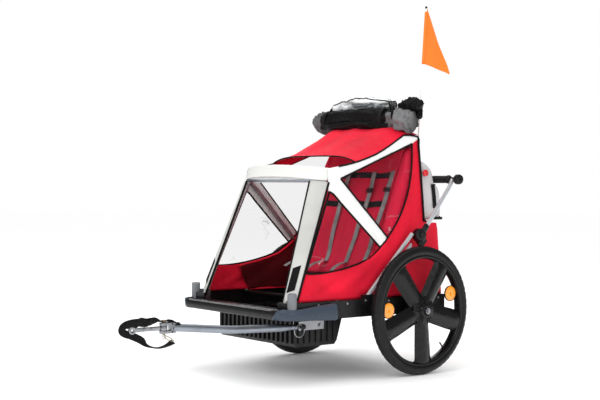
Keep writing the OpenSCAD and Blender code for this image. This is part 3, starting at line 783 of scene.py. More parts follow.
roll = lumpy("cover_rolled",
             [P(-282, 43, 1006), P(-200, 41, 1012), P(-90, 38, 1014), P(40, 40, 1012), P(172, 42, 1004)],
             rounded_end(0.041, 0.03), "black_cloth", 1.5, 0.95, 4, 0.006, steps=90)
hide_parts("cover_roll")
flap = lumpy("cover_under", [P(-262, 22, 984), P(-150, 6, 983), P(30, 4, 982), P(176, 16, 974)],
             rounded_end(0.021, 0.06), "black_cloth", 8.2, 0.8, 3, 0.006, steps=70)
end_left = lumpy("roll_end_left", [P(-309, 46, 992), P(-296, 45, 998), P(-272, 43, 1004), P(-248, 42, 1009)],
                 lambda t: 0.044 * math.sqrt(max(0.03, 1 - max(0, (0.42 - t) / 0.42) ** 2.2)), "grey_mesh",
                 3.1, 1.0, 6,
                 0.008, steps=30)
end_right = lumpy("roll_end_right",
                  [P(150, 44, 1002), P(180, 41, 1000), P(222, 40, 994), P(262, 45, 990), P(284, 50, 989)],
                  lambda t: (0.044 * math.sqrt(max(0.03, 1 - max(0, (t - 0.66) / 0.34) ** 2.4))
                             * (0.86 + 0.14 * min(1, 5 * t))),
                  "grey_mesh", 6.4, 0.96, 7, 0.014, steps=44)
bundle = [lumpy(f"bundle_{name}", [P(*p) for p in path], rounded_end(radius, end), "black_cloth", seed,
                squash, folds,
                depth, steps, sides) for name, path, radius, end, seed, squash, folds, depth, steps,
          sides in (
    ("a", ((176, 62, 1040), (206, 68, 1054), (238, 72, 1064), (262, 74, 1062)), 0.022, 0.25, 2.2, 1.1, 4,
     0.010, 34, 30),
    ("b", ((226, 56, 1044), (256, 58, 1056), (280, 62, 1050), (292, 66, 1040)), 0.025, 0.3, 4.7, 1.0, 5,
     0.010, 34, 30),
    ("c", ((252, 82, 1060), (270, 80, 1042), (281, 72, 1018), (284, 64, 1000)), 0.014, 0.25, 9.7, 0.8, 3,
     0.006, 24, 24),
    ("d", ((152, 40, 1046), (166, 30, 1050), (184, 18, 1044), (196, 4, 1022), (198, 0, 998)), 0.008, 0.2, 7.7,
     0.6, 2,
     0.003, 24, 18))]
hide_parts("roll_bundle")


def build_clear_roll():
    """The clear front sheet, rolled loosely into one and a half slack turns."""
    rows, n, m = [], 46, 58
    for i in range(n + 1):
        t = i / n
        x = -232 + 354 * t
        fat = 0.42 + 0.58 * math.sin(math.pi * (0.04 + 0.92 * t)) ** 0.6
        row = []
        for k in range(m + 1):
            a = math.radians(-215 + 560 * k / m)
            r = (36 - 10 * k / m) * fat
            c, d = math.cos(a), math.sin(a)
            w = 1000 * (wrinkle((x * MM, c * 0.03, d * 0.03), 0.045, 0.010, 4.4)
                        + wrinkle((x * MM * 2, c * 0.04, d * 0.04), 0.03, 0.004, 8.4))
            row.append(P(x, 76 + (r * 1.05 + w) * c, 1048 + 28 * fat + (r * 0.92 + w) * d))
        rows.append(row)
    clear = piece("cover_clear", *grid(rows), "clear", "rear_hoop", thick=0.0009)
    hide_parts("clear_roll")
    for j, edge in enumerate((rows[0], rows[-1])):
        trim = tube(f"clear_trim_{j}", edge, 0.0022, "black_web", "rear_hoop", 6)
    hem_line = tube("clear_hem", [row[0] for row in rows], 0.0030, "black_cloth", "rear_hoop", 6)


build_clear_roll()


def build_roll_straps():
    """Two black straps round the roll, and the toggle at its end."""
    nets = []
    for x in (-226, 128):
        loop = [P(x, 41 + 45.5 * math.cos(a), 1010 + 43.5 * math.sin(a)) for a in around(40)]
        nets.append(sweep(loop, slab(0.020, 0.0016), side=(1, 0, 0), closed=True))
    straps = piece("roll_straps_web", *join(*nets), "black_web", "rear_hoop")
    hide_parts("roll_straps")
    toggle = lumpy("roll_toggle", [P(-248, 52, 1052), P(-228, 58, 1064), P(-206, 62, 1072)],
                   rounded_end(0.008, 0.3),
                   "buckle", 1.0, 1.0, 3, 0.001, steps=20, sides=16)


build_roll_straps()


# ---------------------------------------------------------------- seat
def inflate(obj, voxel, pressure, cap):
    """Blows a closed piece up with a short cloth simulation, moving no point further than cap metres."""
    scene = bpy.context.scene
    remesh = obj.modifiers.new("voxels", "REMESH")
    remesh.mode, remesh.voxel_size = "VOXEL", voxel
    dg = bpy.context.evaluated_depsgraph_get()
    mesh = bpy.data.meshes.new_from_object(obj.evaluated_get(dg))
    obj.modifiers.clear()
    mat = obj.data.materials[0]
    obj.data = mesh
    mesh.materials.clear()
    mesh.materials.append(mat)
    start = [v.co.copy() for v in mesh.vertices]
    cloth_mod = obj.modifiers.new("cloth", "CLOTH")
    s = cloth_mod.settings
    s.quality, s.use_pressure, s.uniform_pressure_force = 4, True, pressure
    s.tension_stiffness = s.compression_stiffness = 12
    s.effector_weights.gravity = 0
    for frame_no in range(1, 21):
        scene.frame_set(frame_no)
    dg = bpy.context.evaluated_depsgraph_get()
    moved = [v.co.copy() for v in obj.evaluated_get(dg).data.vertices]
    obj.modifiers.clear()
    scene.frame_set(1)
    for v, a, b in zip(mesh.vertices, start, moved):
        d = b - a
        v.co = a + d * min(1, cap / max(d.length, 1e-9))
    mesh.polygons.foreach_set("use_smooth", [True] * len(mesh.polygons))
    mod = obj.modifiers.new("rounding", "SUBSURF")
    mod.levels = mod.render_levels = 1


def pad(name, centre, size, mat, crown):
    """A cushion form: crowned in the middle, with sides that pull in between the corners."""
    n, bulge = 14, 0.10
    index, verts, faces = {}, [], []

    def corner(i, j, top):
        inner = 0 < i < n and 0 < j < n
        key = (i, j, top if inner else 0)
        if key not in index:
            u, v = -1 + 2 * i / n, -1 + 2 * j / n
            pull = bulge * ((1 - u * u) * abs(v) ** 4 + (1 - v * v) * abs(u) ** 4) * 0.3
            h = ((1 - u ** 4) * (1 - v ** 4)) ** 0.42
            z = (0.5 + crown * (1 - u * u) * (1 - v * v)) * h
            index[key] = len(verts)
            verts.append(Vector((u * (1 - pull) * size[0] / 2, v * (1 - pull) * size[1] / 2, z * size[2]
                                 if inner else 0.0))
                         + Vector(centre))
        return index[key]

    for i in range(n):
        for j in range(n):
            for top in (1, -1):
                quad = (corner(i, j, top), corner(i + 1, j, top), corner(i + 1, j + 1, top),
                        corner(i, j + 1, top))
                faces.append(quad if top > 0 else quad[::-1])
    return piece(name, verts, faces, mat, levels=1)


# painted shade: the cushions use a red darkened for the shade inside the cabin
for k, x in enumerate((-112, 112)):
    c = pad(f"seat_pad_{k}", P(x, -262, 330), (0.218, 0.226, 0.050), "dark_red", 0.25)
    inflate(c, 0.006, 3.0, 0.008)
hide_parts("seat_cushion")

BACK_TILT = math.atan2(180, 460)
BACK_TOP = Vector((0, 60, 880))
BACK_LENGTH, SLING_HALF = 545, 214


def on_back(x, v, out):
    """A point on the seat back: v mm up from its top, so below 0, and out mm in front of it."""
    c, s = math.cos(BACK_TILT), math.sin(BACK_TILT)
    y, z = -out, v
    return P(x, BACK_TOP.y + y * c + z * s, BACK_TOP.z - y * s + z * c)


def back_relief(x, v):
    """Front of the seat back: two sling seats side by side, each hollowed by its child's back."""
    seat = math.sin(math.pi * (abs(x) % 106) / 106) if abs(x) < 212 else 0
    hollow = -12 * math.sin(math.pi * abs(x) / 212) ** 2 * math.sin(math.pi * min(1, -v / 540))
    return 10 + hollow + 2.2 * seat + 1000 * wrinkle((x * MM, v * MM, 0), 0.07, 0.005, 1.2)


def build_seat_back():
    """The sling with its liner, side wings, edge rolls, cross bands and the two children's harness straps."""
    front = []
    for i in range(46):
        v = 2 - BACK_LENGTH * i / 45
        front.append([on_back(x, v, back_relief(x, v))
                      for x in (-SLING_HALF + 428 * k / 40 for k in range(41))])
    sling = piece("seat_sling", *grid(front), "red_seat", thick=0.005)
    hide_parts("seat_back")
    liner = piece("seat_liner",
                  *grid([[on_back(-224 + 448 * k / 8, 2 - BACK_LENGTH * i / 8, -9) for k in range(9)]
                                       for i in range(9)]), "red_seat", thick=0.0018)
    wings = []
    for s, side in SIDES:
        rows = []
        for i in range(24):
            v = 2 - BACK_LENGTH * i / 23
            z = on_back(0, v, 0).z / MM
            reach = max(12, side_x(z) - 8 - SLING_HALF)
            row = [on_back(s * (SLING_HALF + reach * k / 6), v, 4 + 8 * math.sin(math.pi * k / 6)
                           + 2000 * wrinkle((k * 0.02, v * MM, s), 0.06, 0.004, 8.0)) for k in range(7)]
            y0, z0 = (row[-1].y - AXLE_Y) / MM, row[-1].z / MM
            row += [on_side(s, y0 + (101 - y0) * k / 5, z0 + 3 * k, -7) for k in range(1, 6)]
            rows.append(row)
        wings.append(piece(f"seat_wing_{side}", *grid(rows), "red_seat", thick=0.0018))
    rolls = [tube(f"seat_roll_{k}", [on_back(x, -17 * i, back_relief(x, -17 * i) + 1) for i in range(32)],
                  0.004, "red_seat", sides=8) for k, x in enumerate((-212, 0, 212))]
    bands = []
    for v in (-116, -240):
        line = [on_back(x, v, back_relief(x, v) + 3.6) for x in range(-212, 213, 8)]
        bands.append(sweep(line, slab(0.026, 0.0016), side=on_back(0, 0, 0) - on_back(0, -1, 0)))
    web = piece("back_bands", *join(*bands), "black_web")
    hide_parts("back_webbing")
    straps, sliders = [], []
    up = (on_back(0, 0, 0) - on_back(0, -1, 0)).normalized()
    for x in (-196, -50, 84, 198):
        lean = 10 if x > 0 else -10
        line = [on_back(x + lean * math.sin(i / 9.0), -14 - 12.6 * i,
                        back_relief(x, -14 - 12.6 * i) + 6.2 + 7 * math.sin(math.pi * min(i, 34) / 34))
                for i in range(7, 39)]
        line += [line[-1] + Vector((lean * 0.2 * k, -11.0 * k, -0.44 * k * k)) * MM for k in range(1, 9)]
        straps.append(sweep(line, slab(0.024, 0.0020), side=(1, 0, 0)))
        v = -184
        c = on_back(x + lean * math.sin((-v - 14) / 113.4), v, back_relief(x, v) + 9
                    + 7 * math.sin(math.pi * (-v - 14) / 428))
        for dv in (-7, 0, 7):
            bar = [c + up * dv * MM + Vector((d * MM, -0.0015, 0)) for d in (-17, -9, 0, 9, 17)]
            sliders.append(sweep(bar, ring(0.0024, 8)))
        for d in (-16, 16):
            bar = [c + up * dv * MM + Vector((d * MM, -0.0015, 0)) for dv in (-9, -3, 3, 9)]
            sliders.append(sweep(bar, ring(0.0028, 8)))
    harness = piece("harness_web", *join(*straps), "harness")
    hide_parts("harness_straps")
    clips = piece("harness_sliders", *join(*sliders), "buckle")
    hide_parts("harness_buckles")
    sinks(sling, liner, web, harness, clips, *wings, *rolls)


build_seat_back()


# ---------------------------------------------------------------- rear: red panels and the cargo pouch
def build_rear():
    """The red back: a flat upper part, then the boot that stands out above the axle."""
    line = curve((107, 926), (108, 850), (108, 720), (109, 640), 8) + \
        curve((109, 640), (110, 604), (128, 592), (160, 588), 6)[1:] + \
        curve((160, 588), (182, 584), (187, 572), (188, 548), 6)[1:] + \
        curve((188, 548), (190, 470), (190, 380), (186, 306), 10)[1:]
    rows = []
    for i, (y, z) in enumerate(line):
        row = []
        for k in range(49):
            u = -1 + k / 24
            round_off = 22 * max(0, (abs(u) - 0.90) / 0.10) ** 2.2 * (1 if z < 590 else 0.35)
            sag = ((5 if z < 560 else 2.5) * (1 - u ** 4)
                   + 1000 * wrinkle((u * 0.3, i * 0.02, 0.4), 0.09, 0.005, 6))
            sag += 3.0 * math.exp(-((abs(u) - 0.5) / 0.04) ** 2) * (-1 if z < 560 else 0)
            slope = 0 if 6 < i < 12 else 1
            row.append(P((side_x(z) - 1) * u, y - round_off + sag * slope, z + (0 if slope else 0.8 * sag)))
        rows.append(row)
    back = piece("rear_sheet", *grid(rows), "red_side", thick=0.0024, levels=1)
    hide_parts("rear_panel", "boot_panel")
    pipes = []
    for j, i in enumerate((14, 20, len(line) - 1)):
        pipes.append(tube(f"rear_piping_{j}", [p + Vector((0, 0.001, 0)) for p in rows[i]], 0.0026, "piping",
                          sides=8))
    for j, k in enumerate((2, 46)):
        pipes.append(tube(f"rear_corner_{j}", [row[k] + Vector((0, 0.0015, 0.0)) for row in rows], 0.0022,
                          "piping", sides=8))
    strap = []
    for x in (-150, 150):
        pts = [rows[i][24 + round(x / 12.2)] + Vector((0, 0.004, 0)) for i in range(14, len(line))]
        strap.append(sweep(pts, slab(0.025, 0.0018), side=(1, 0, 0)))
    web = piece("boot_straps", *join(*strap), "black_web")
    sinks(back, web, *pipes)


def build_rear_reflectors():
    """Two round red lenses, high on the cabin's sides at the back."""
    nets = [lathe([(0.3, 10), (8, 9.6), (12.5, 8), (14, 5.5), (14, 0), (0.3, 0)], 32,
                  lambda u, v, h, s=s: P(s * (262 + h), 124 + u, 786 + v)) for s in (1, -1)]
    lenses = piece("rear_lenses", *join(*nets), "red_lens")
    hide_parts("rear_reflectors")
    sinks(lenses)


def build_pouch():
    """The grey pouch: fuller and lower at its foot, with a flap, a pocket and black binding."""
    front = [(118, 838), (150, 820), (176, 798), (189, 770), (200, 744), (216, 730), (226, 706), (235, 664),
             (239, 628),
             (232, 610), (196, 603), (150, 603), (118, 612)]
    outline = spline([(y, z, 0) for y, z in front], 44)
    rows, n = [], 40
    for i in range(n + 1):
        u = -1 + 2 * i / n
        close = math.sqrt(max(0.0, 1 - (max(0, abs(u) - 0.96) / 0.04) ** 2))
        row = []
        for q in outline:
            bulge = 5 * (1 - u * u) - 3.5 * math.exp(-((abs(u) - 0.34) / 0.03) ** 2)
            w = 1000 * wrinkle((u * 0.25, q.x * MM, q.y * MM), 0.07, 0.007, 3.3)
            y = 113 + (q.x - 113) * (0.86 + 0.14 * close) + (bulge + w) * min(1, (q.x - 118) / 40)
            z = (715 + (q.y - 715) * (0.93 + 0.07 * close) + w * 0.4
                 - 4 * (1 - u * u) * (1 if q.y < 640 else 0))
            row.append(P(252 * u, y, z))
        row.append(P(252 * u, 113, row[-1].z / MM))
        row.append(P(252 * u, 113, row[0].z / MM))
        rows.append(row)
    pouch = piece("pouch_shell", *grid(rows, closed_u=True, caps=True), "grey_bag", levels=1)
    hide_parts("cargo_bag")
    trims = []
    for j, i in enumerate((2, n - 2)):
        trims.append(tube(f"pouch_binding_{j}", rows[i][:44], 0.0032, "piping", sides=8))
    trims.append(tube("pouch_flap_edge", [r[15] + Vector((0, 0.002, 0)) for r in rows[1:-1]], 0.0030,
                      "piping", sides=8))
    trims.append(tube("pouch_zip", [r[19] + Vector((0, 0.002, 0)) for r in rows[3:-3]], 0.0036, "black_web",
                      sides=6))
    trims.append(tube("pouch_foot_edge", [r[32] + Vector((0, 0.001, 0)) for r in rows[1:-1]], 0.0030,
                      "piping", sides=8))
    tabs = []
    for i in (9, 31):
        tabs.append(sweep([rows[i][k] + Vector((0, 0.0045, 0.001)) for k in range(8, 30)], slab(0.025, 0.002),
                          side=(1, 0, 0)))
        c = rows[i][22] + Vector((0, 0.009, 0))
        tabs.append(sweep([c + Vector((d, 0, 0)) for d in (-0.019, -0.012, 0, 0.012, 0.019)],
                          slab(0.020, 0.009, 0.002),
                          side=(0, 0, 1)))
    for s in (1, -1):
        line = [P(s * 254.5, y, z) for y, z in curve((176, 742), (180, 720), (186, 690), (190, 646), 10)]
        tabs.append(sweep(line, slab(0.020, 0.0022), side=(0, 1, 0)))
        tabs.append(sweep([P(s * 253, y, 604) for y in (172, 190, 214, 232)], slab(0.005, 0.011),
                          side=(1, 0, 0)))
    buckles = piece("pouch_straps", *join(*tabs), "black_web")
    sinks(pouch, buckles, *trims)


build_rear_reflectors()
build_rear()
build_pouch()


# ---------------------------------------------------------------- wheels
WHEEL_X, WHEEL_R = 370.0, 250.0
SPOKES, FIRST_SPOKE = 5, -87.0       # how many, and the first one's angle in degrees
SPOKE_FOOT, SPOKE_TIP = 38, 206
TYRE_MIDDLE = 228                        # from the hub to the middle of the tyre's section
TYRE_WALL, TYRE_TREAD = 21.6, 22         # from there to its walls and its tread
TREAD = [-14.5, -12, -9, -6.4, -5.2, -2.4, 0, 2.4, 5.2, 6.4, 9, 12, 14.5]
TREAD_STEPS = 300
REFLECTOR_RADIUS = 172


def tyre_wall(degrees, j):
    """A point of the tyre's wall as (radius, height); two faint rings stand out of each wall."""
    b = math.radians(degrees)
    r = TYRE_WALL + (0.5 if j in (2, 4) else 0)
    return TYRE_MIDDLE + r * math.cos(b), r * math.sin(b)


def tyre_tread(h, i):
    """A point of the tread at height h and step i, with two grooves and short cuts between them."""
    r = TYRE_MIDDLE + math.sqrt(TYRE_TREAD ** 2 - h * h)
    sipe = (i % 5 == 0 and h < -6) or ((i + 2) % 5 == 0 and h > 6) or ((i + 1) % 3 == 0 and -2 < h < 2)
    return r - (2.0 if sipe else 0) - (1.8 if abs(abs(h) - 5.2) < 0.1 else 0), h


def build_wheel(s, side):
    """A moulded five-spoke wheel with its tyre, valve and two amber reflectors."""
    def at(u, v, h):
        return P(s * (WHEEL_X + h), u, WHEEL_R + v)

    hoop = lathe([(217, 15), (215, 18), (211, 20.5), (207, 20), (204, 16.5), (202, 11), (200.5, 4),
                  (200.5, -4),
                  (202, -11), (204, -16.5), (207, -20), (211, -20.5), (215, -18), (217, -15)], 120, at)
    hub = lathe([(13.2, 34.5), (14.5, 36), (24, 36), (27, 33), (29, 25), (44, 22.5), (53, 20), (56, 15),
                 (56, -10), (52, -14),
                 (30, -17), (27, -22), (26, -28), (24, -30), (8, -30), (8, 28), (13.2, 29)], 72, at)
    nets = [hoop, hub]
    for q in range(SPOKES):
        a0 = math.radians(FIRST_SPOKE + q * 360 / SPOKES)
        ca, sa = math.cos(a0), math.sin(a0)
        rows = []
        for i in range(23):
            r = SPOKE_FOOT + (SPOKE_TIP - SPOKE_FOOT) * i / 22
            half = 37 + 5 * min(1, (r - SPOKE_FOOT) / 110) + 16 * max(0, (r - 176) / 30) ** 2.2
            root, tip = max(0, (58 - r) / 20), max(0, (r - 188) / 18)
            row = []
            for a in around(24):
                t = math.cos(a)
                edge = abs(t)
                swell = 1 - (edge / 0.84) ** 2.2 if edge < 0.84 else 0
                if math.sin(a) >= 0:
                    h = 3 + 5 * (1 - edge ** 8) + 13.5 * swell - 3 * tip
                else:
                    h = 3 - 5 * (1 - edge ** 8) - 8 * swell
                row.append(at(r * ca - t * half * sa, r * sa + t * half * ca, h + root))
            rows.append(row)
        nets.append(grid(rows, closed_u=True, caps=True))
        rib = math.radians(FIRST_SPOKE + 36 + q * 72)
        for d in (-15, 0, 15):
            b = rib + math.radians(d)
            line = [at(r * math.cos(b), r * math.sin(b), h) for r,
                    h in ((28, 26), (38, 25), (48, 22.5), (57, 15))]
            nets.append(sweep(line, ring(2.4 * MM, 8)))
    rim = piece(f"rim_moulded_{side}", *join(*nets), "rim", f"{side}_wheel")
    mod = rim.modifiers.new("split", "EDGE_SPLIT")
    mod.split_angle = 1.0
    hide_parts(f"rim_{side}")

    rows = []
    for i, a in enumerate(around(TREAD_STEPS)):
        row = [tyre_wall(-146 + 13.8 * j, j) for j in range(7)]
        row += [tyre_tread(h, i) for h in TREAD]
        row += [tyre_wall(146 - 13.8 * (6 - j), j) for j in range(7)]
        rows.append([at(r * math.cos(a), r * math.sin(a), h) for r, h in row])
    tyre = piece(f"tyre_treaded_{side}", *grid(rows, closed_u=True, closed_v=True), "tyre", f"{side}_wheel")
    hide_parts(f"tyre_{side}")
    valve = math.radians(FIRST_SPOKE + 36)
    stem = tube(f"valve_{side}",
                [at(r * math.cos(valve), r * math.sin(valve), 0) for r in (201, 190, 178, 170)], 0.003,
                "rubber", f"{side}_wheel", 10)
    lenses, backs = [], []
    for deg in (20, 177):
        c = math.radians(deg)
        u0, v0 = REFLECTOR_RADIUS * math.cos(c), REFLECTOR_RADIUS * math.sin(c)

        def local(u, v, h, u0=u0, v0=v0):
            return at(u0 + u, v0 + v, h)
        lenses.append(lathe([(0.4, 5.6), (12, 5.4), (22, 5.0), (27, 4.4), (28.6, 3.4), (28.6, 1.5),
                             (0.4, 1.5)], 48, local))
        backs.append(lathe([(29, 1.0), (29, 4.0), (30.4, 4.4), (31, 3.6), (31, -1.4), (29.5, -2.4),
                            (0.4, -2.4), (0.4, 1.0)],
                           48, local))
        hook = c - 0.02
        backs.append(sweep([at(r * math.cos(hook), r * math.sin(hook), 0.5) for r in (196, 198, 202)],
                           slab(0.030, 0.004),
                           side=at(-math.sin(hook), math.cos(hook), 0) - at(0, 0, 0)))
    lens = piece(f"reflector_lenses_{side}", *join(*lenses), "amber", f"{side}_wheel")
    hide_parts(f"reflectors_{side}")
    back = piece(f"reflector_backs_{side}", *join(*backs), "buckle", f"{side}_wheel")


for s, side in SIDES:
    build_wheel(s, side)


# ---------------------------------------------------------------- bumper
def build_bumper():
    """A soft-edged beam across the front whose ends wrap the tray's corners and rise towards the rear."""
    half, corner, front = 345.0, 75.0, -655.0
    plan = [((x, front), (0, -1)) for x in [0, 30, 60, 90, 120, 150, 180, 210, 240, 262]]
    plan += [((half - corner + corner * math.sin(a), front + corner - corner * math.cos(a)),
              (math.sin(a), -math.cos(a)))
             for a in (math.radians(7.5 * k) for k in range(13))]
    plan += [((half, y), (1, 0)) for y in (-560, -540, -515, -490, -465, -440, -420, -406, -399, -396.4)]

    def section(x, y, nx, ny, depth, z0, z1):
        row = []
        for a in around(24):
            c, d = power(math.cos(a), 0.42), power(math.sin(a), 0.42)
            q = depth / 2 * (1 - c) + 0.14 * (z1 - z0) * max(0, d) ** 2 * (c > 0)
            row.append((x - nx * q, y - ny * q, (z0 + z1) / 2 + (z1 - z0) / 2 * d))
        return row

    bar, cap = [], []
    for (x, y), (nx, ny) in plan:
        turn = max(0.0, min(1.0, (y + 600) / 200))
        z0 = 242 - 9 * turn
        z1 = 280.5 + 25 * (turn ** 1.4) * (1 - 0.35 * turn)
        depth = 54 - 27.5 * min(1, max(0, (x - 262) / 70))
        if x < 300 and y < -640:
            bar.append(section(x, y, nx, ny, depth, z0 + 0.6, z1 - 0.6))
        if x > 250:
            last = y > -400
            row = section(x - (2 if last else 0), y, nx, ny, depth * (0.9 if last else 1),
                          z0 + (2 if last else 0), z1 + (2 if x < 330 else 0) - (2.5 if last else 0))
            slant = 0.85 * max(0, 310 - x)
            cap.append([(p + slant * (r - z0) / (z1 - z0), q, r) for p, q, r in row])
    whole = [[P(-x, y, z) for x, y, z in row] for row in bar[:0:-1]] + [[P(*p) for p in row] for row in bar]
    beam = piece("bumper_beam", *grid(whole, closed_u=True, caps=True), "tray")
    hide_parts("bumper_bar")
    # painted highlight: a lighter grey tube along the beam's top front edge, standing for its reflection of
    # the sky
    lip = tube("bumper_lip_highlight", [P(x, front + 4.6, 277.6) for x in range(-268, 269, 8)], 0.0034, "bar_edge",
               sides=10)
    for s, side in SIDES:
        rows = [[P(s * x, y, z) for x, y, z in row] for row in cap]
        obj = piece(f"bumper_end_{side}", *grid(rows, closed_u=True, caps=True), "slate", levels=1)
        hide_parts(f"bumper_cap_{side}")


build_bumper()


# ---------------------------------------------------------------- push handle
HINGE_Y, HINGE_Z = 31.0, 540.0
HANDLE_R, HANDLE_A = 285.0, math.radians(51)
SHAFT_X = 338.2


def stepped(radii, wide=1.0):
    """A round section whose radius, in millimetres, steps along its path; wide scales its first axis."""
    return lambda i, n: [(p * k * wide, q * k) for k in (radii[i] * MM,) for p, q in ring(1.0, 20)(0, 0)]


def on_handle(r, x, drop=0.0):
    """A point r millimetres from the hinge along the handle, and drop below its line."""
    c, s = math.cos(HANDLE_A), math.sin(HANDLE_A)
    return P(x, HINGE_Y + r * c + drop * s, HINGE_Z + r * s - drop * c)


def build_handle():
    """The push handle: two bent shafts on round hubs, and a ribbed grip with a knob at either end."""
    tubes = []
    for s in (1, -1):
        path = [on_handle(24, s * SHAFT_X), on_handle(90, s * SHAFT_X), on_handle(180, s * SHAFT_X),
                on_handle(240, s * SHAFT_X),
                on_handle(272, s * 336, -2), on_handle(284, s * 328, 0), on_handle(285, s * 318)]
        tubes.append(sweep(spline(path, 40), ring(8 * MM, 20)))
        sleeve = [on_handle(r, s * SHAFT_X) for r in (62, 64, 66, 116, 118, 120)]
        tubes.append(sweep(sleeve, stepped((8.2, 9.0, 9.2, 9.2, 9.0, 8.2))))
    shafts = piece("handle_shafts", *join(*tubes), "silver", "push_handle")
    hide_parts("handle_tube")
    hubs = []
    for s in (1, -1):
        def at(u, v, h, s=s):
            return P(s * h, HINGE_Y + u, HINGE_Z + v)
        hubs.append(lathe([(6.2, 330.2), (26.5, 330.2), (27, 331), (27, 339), (24.5, 342.6), (12, 343),
                           (6.2, 343)], 48, at))
        for k in range(10):
            a = math.radians(36 * k)
            hubs.append(sweep([at(14 * math.cos(a), 14 * math.sin(a), 342.6),
                               at(25 * math.cos(a), 25 * math.sin(a), 341.4)],
                              ring(1.6 * MM, 6)))
        clamp = [on_handle(r, s * 338.0) for r in (16, 22, 44, 50, 52)]
        hubs.append(sweep(clamp, stepped((9, 13.5, 13.5, 12.5, 10.5), 0.68), side=(1, 0, 0)))
    knuckles = piece("handle_hubs", *join(*hubs), "tray", "push_handle")
    grip, gy, gz = [], on_handle(HANDLE_R, 0).y, on_handle(HANDLE_R, 0).z

    def grip_at(u, v, h):
        return Vector((h * MM, gy + u * MM, gz + v * MM))
    profile = [(9, -300)]
    for k in range(61):
        x = -300 + 10 * k
        profile += [(15.2, x - 2.6), (15.2, x + 2.6), (14.4, x + 3.6), (14.4, x + 6.4)]
    grip.append(lathe(profile[:-2] + [(9, 303)], 32, grip_at))
    for s in (1, -1):
        for profile, n in (([(4, 303), (12, 303), (17, 306), (17.5, 312), (14, 318), (12, 322), (4, 322)],
                            36),
                           ([(4, 347), (13, 347), (16, 350), (20, 355), (20, 369), (18, 374), (12, 376),
                             (4, 375)], 36),
                           ([(3, 320), (8.8, 320), (8.8, 350), (3, 350)], 24)):
            grip.append(lathe(mirrored(profile, s), n, grip_at))
    bar = piece("handle_grips", *join(*grip), "rubber", "push_handle")
    mod = bar.modifiers.new("split", "EDGE_SPLIT")
    mod.split_angle = 0.9
    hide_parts("handle_grip")


build_handle()


# ---------------------------------------------------------------- flag
def build_flag():
    """The orange pennant on its thin pole, which leans outwards."""
    foot, lean = Vector((211, 131, 868)), 0.072
    top, low = 1453.0, 1226.0

    def pole_x(z):
        return foot.x + lean * (z - foot.z)
    rows, n, m = [], 26, 20
    for i in range(n + 1):
        u = i / n
        row = []
        for k in range(m + 1):
            z_top = top + (1200 - top) * (0.8 * u + 0.2 * u ** 0.7)
            z_low = low + (1194 - low) * (0.65 * u + 0.35 * u ** 2)
            z = z_top + (z_low - z_top) * k / m
            y = 135 + 150 * u
            sway = (4 * math.sin(2.6 * u * math.pi + 0.6) * u ** 0.8
                    + 1000 * wrinkle((u * 0.2, z * MM, 0), 0.08, 0.006, 5) * u)
            row.append(P(pole_x(z) + 1 + sway, y, z))
        rows.append(row)
    flag = piece("pennant_cloth", *grid(rows), "flag", "flag", thick=0.0008, levels=1)
    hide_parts("pennant")
    sleeve = [P(pole_x(z), 131, z) for z in range(int(low), int(top) + 1, 19)]
    hem = tube("pennant_sleeve", sleeve, 0.0050, "flag", "flag", 12)
    join_strip = piece("pennant_seam",
                       *grid([[P(pole_x(z) + d, y, z) for y, d in ((132, 2), (136.5, 1.8), (141, 1.5))]
                                              for z in range(int(low) + 4, int(top) - 2, 16)]), "flag",
                       "flag", thick=0.0018)
    tip = tube("pole_tip", [P(pole_x(z), 131, z) for z in (1448, 1452, 1456)], 0.0046, "rubber", "flag", 12)


build_flag()


# ---------------------------------------------------------------- tow arm and hitch
ARM_X, ARM_Z, ARM_PIN_Y = 270.0, 213.0, -522.0
HITCH_X, HITCH_Y, HITCH_Z, EYE_Y = 220.0, -1076.0, 238.0, -1200.0


def prism_net(outline, lift):
    """A flat plate: the outline and its copy, lifted by a vector."""
    n = len(outline)
    verts = list(outline) + [p + lift for p in outline]
    faces = [tuple(range(n))[::-1], tuple(range(n, 2 * n))]
    faces += [(i, (i + 1) % n, n + (i + 1) % n, n + i) for i in range(n)]
    return verts, faces


def upright(x, y):
    """Places a lathe's profile about a vertical axis at x, y."""
    return lambda u, v, h: P(x + u, y + v, h)


def across(y, z):
    """Places a lathe's profile about an axis along X at y, z."""
    return lambda u, v, h: P(h, y + u, z + v)


def boxed(half, high, exponent, n):
    """A section between round and square, of half widths given in millimetres."""
    return [(half * MM * power(math.cos(a), exponent), high * MM * power(math.sin(a), exponent))
            for a in around(n)]


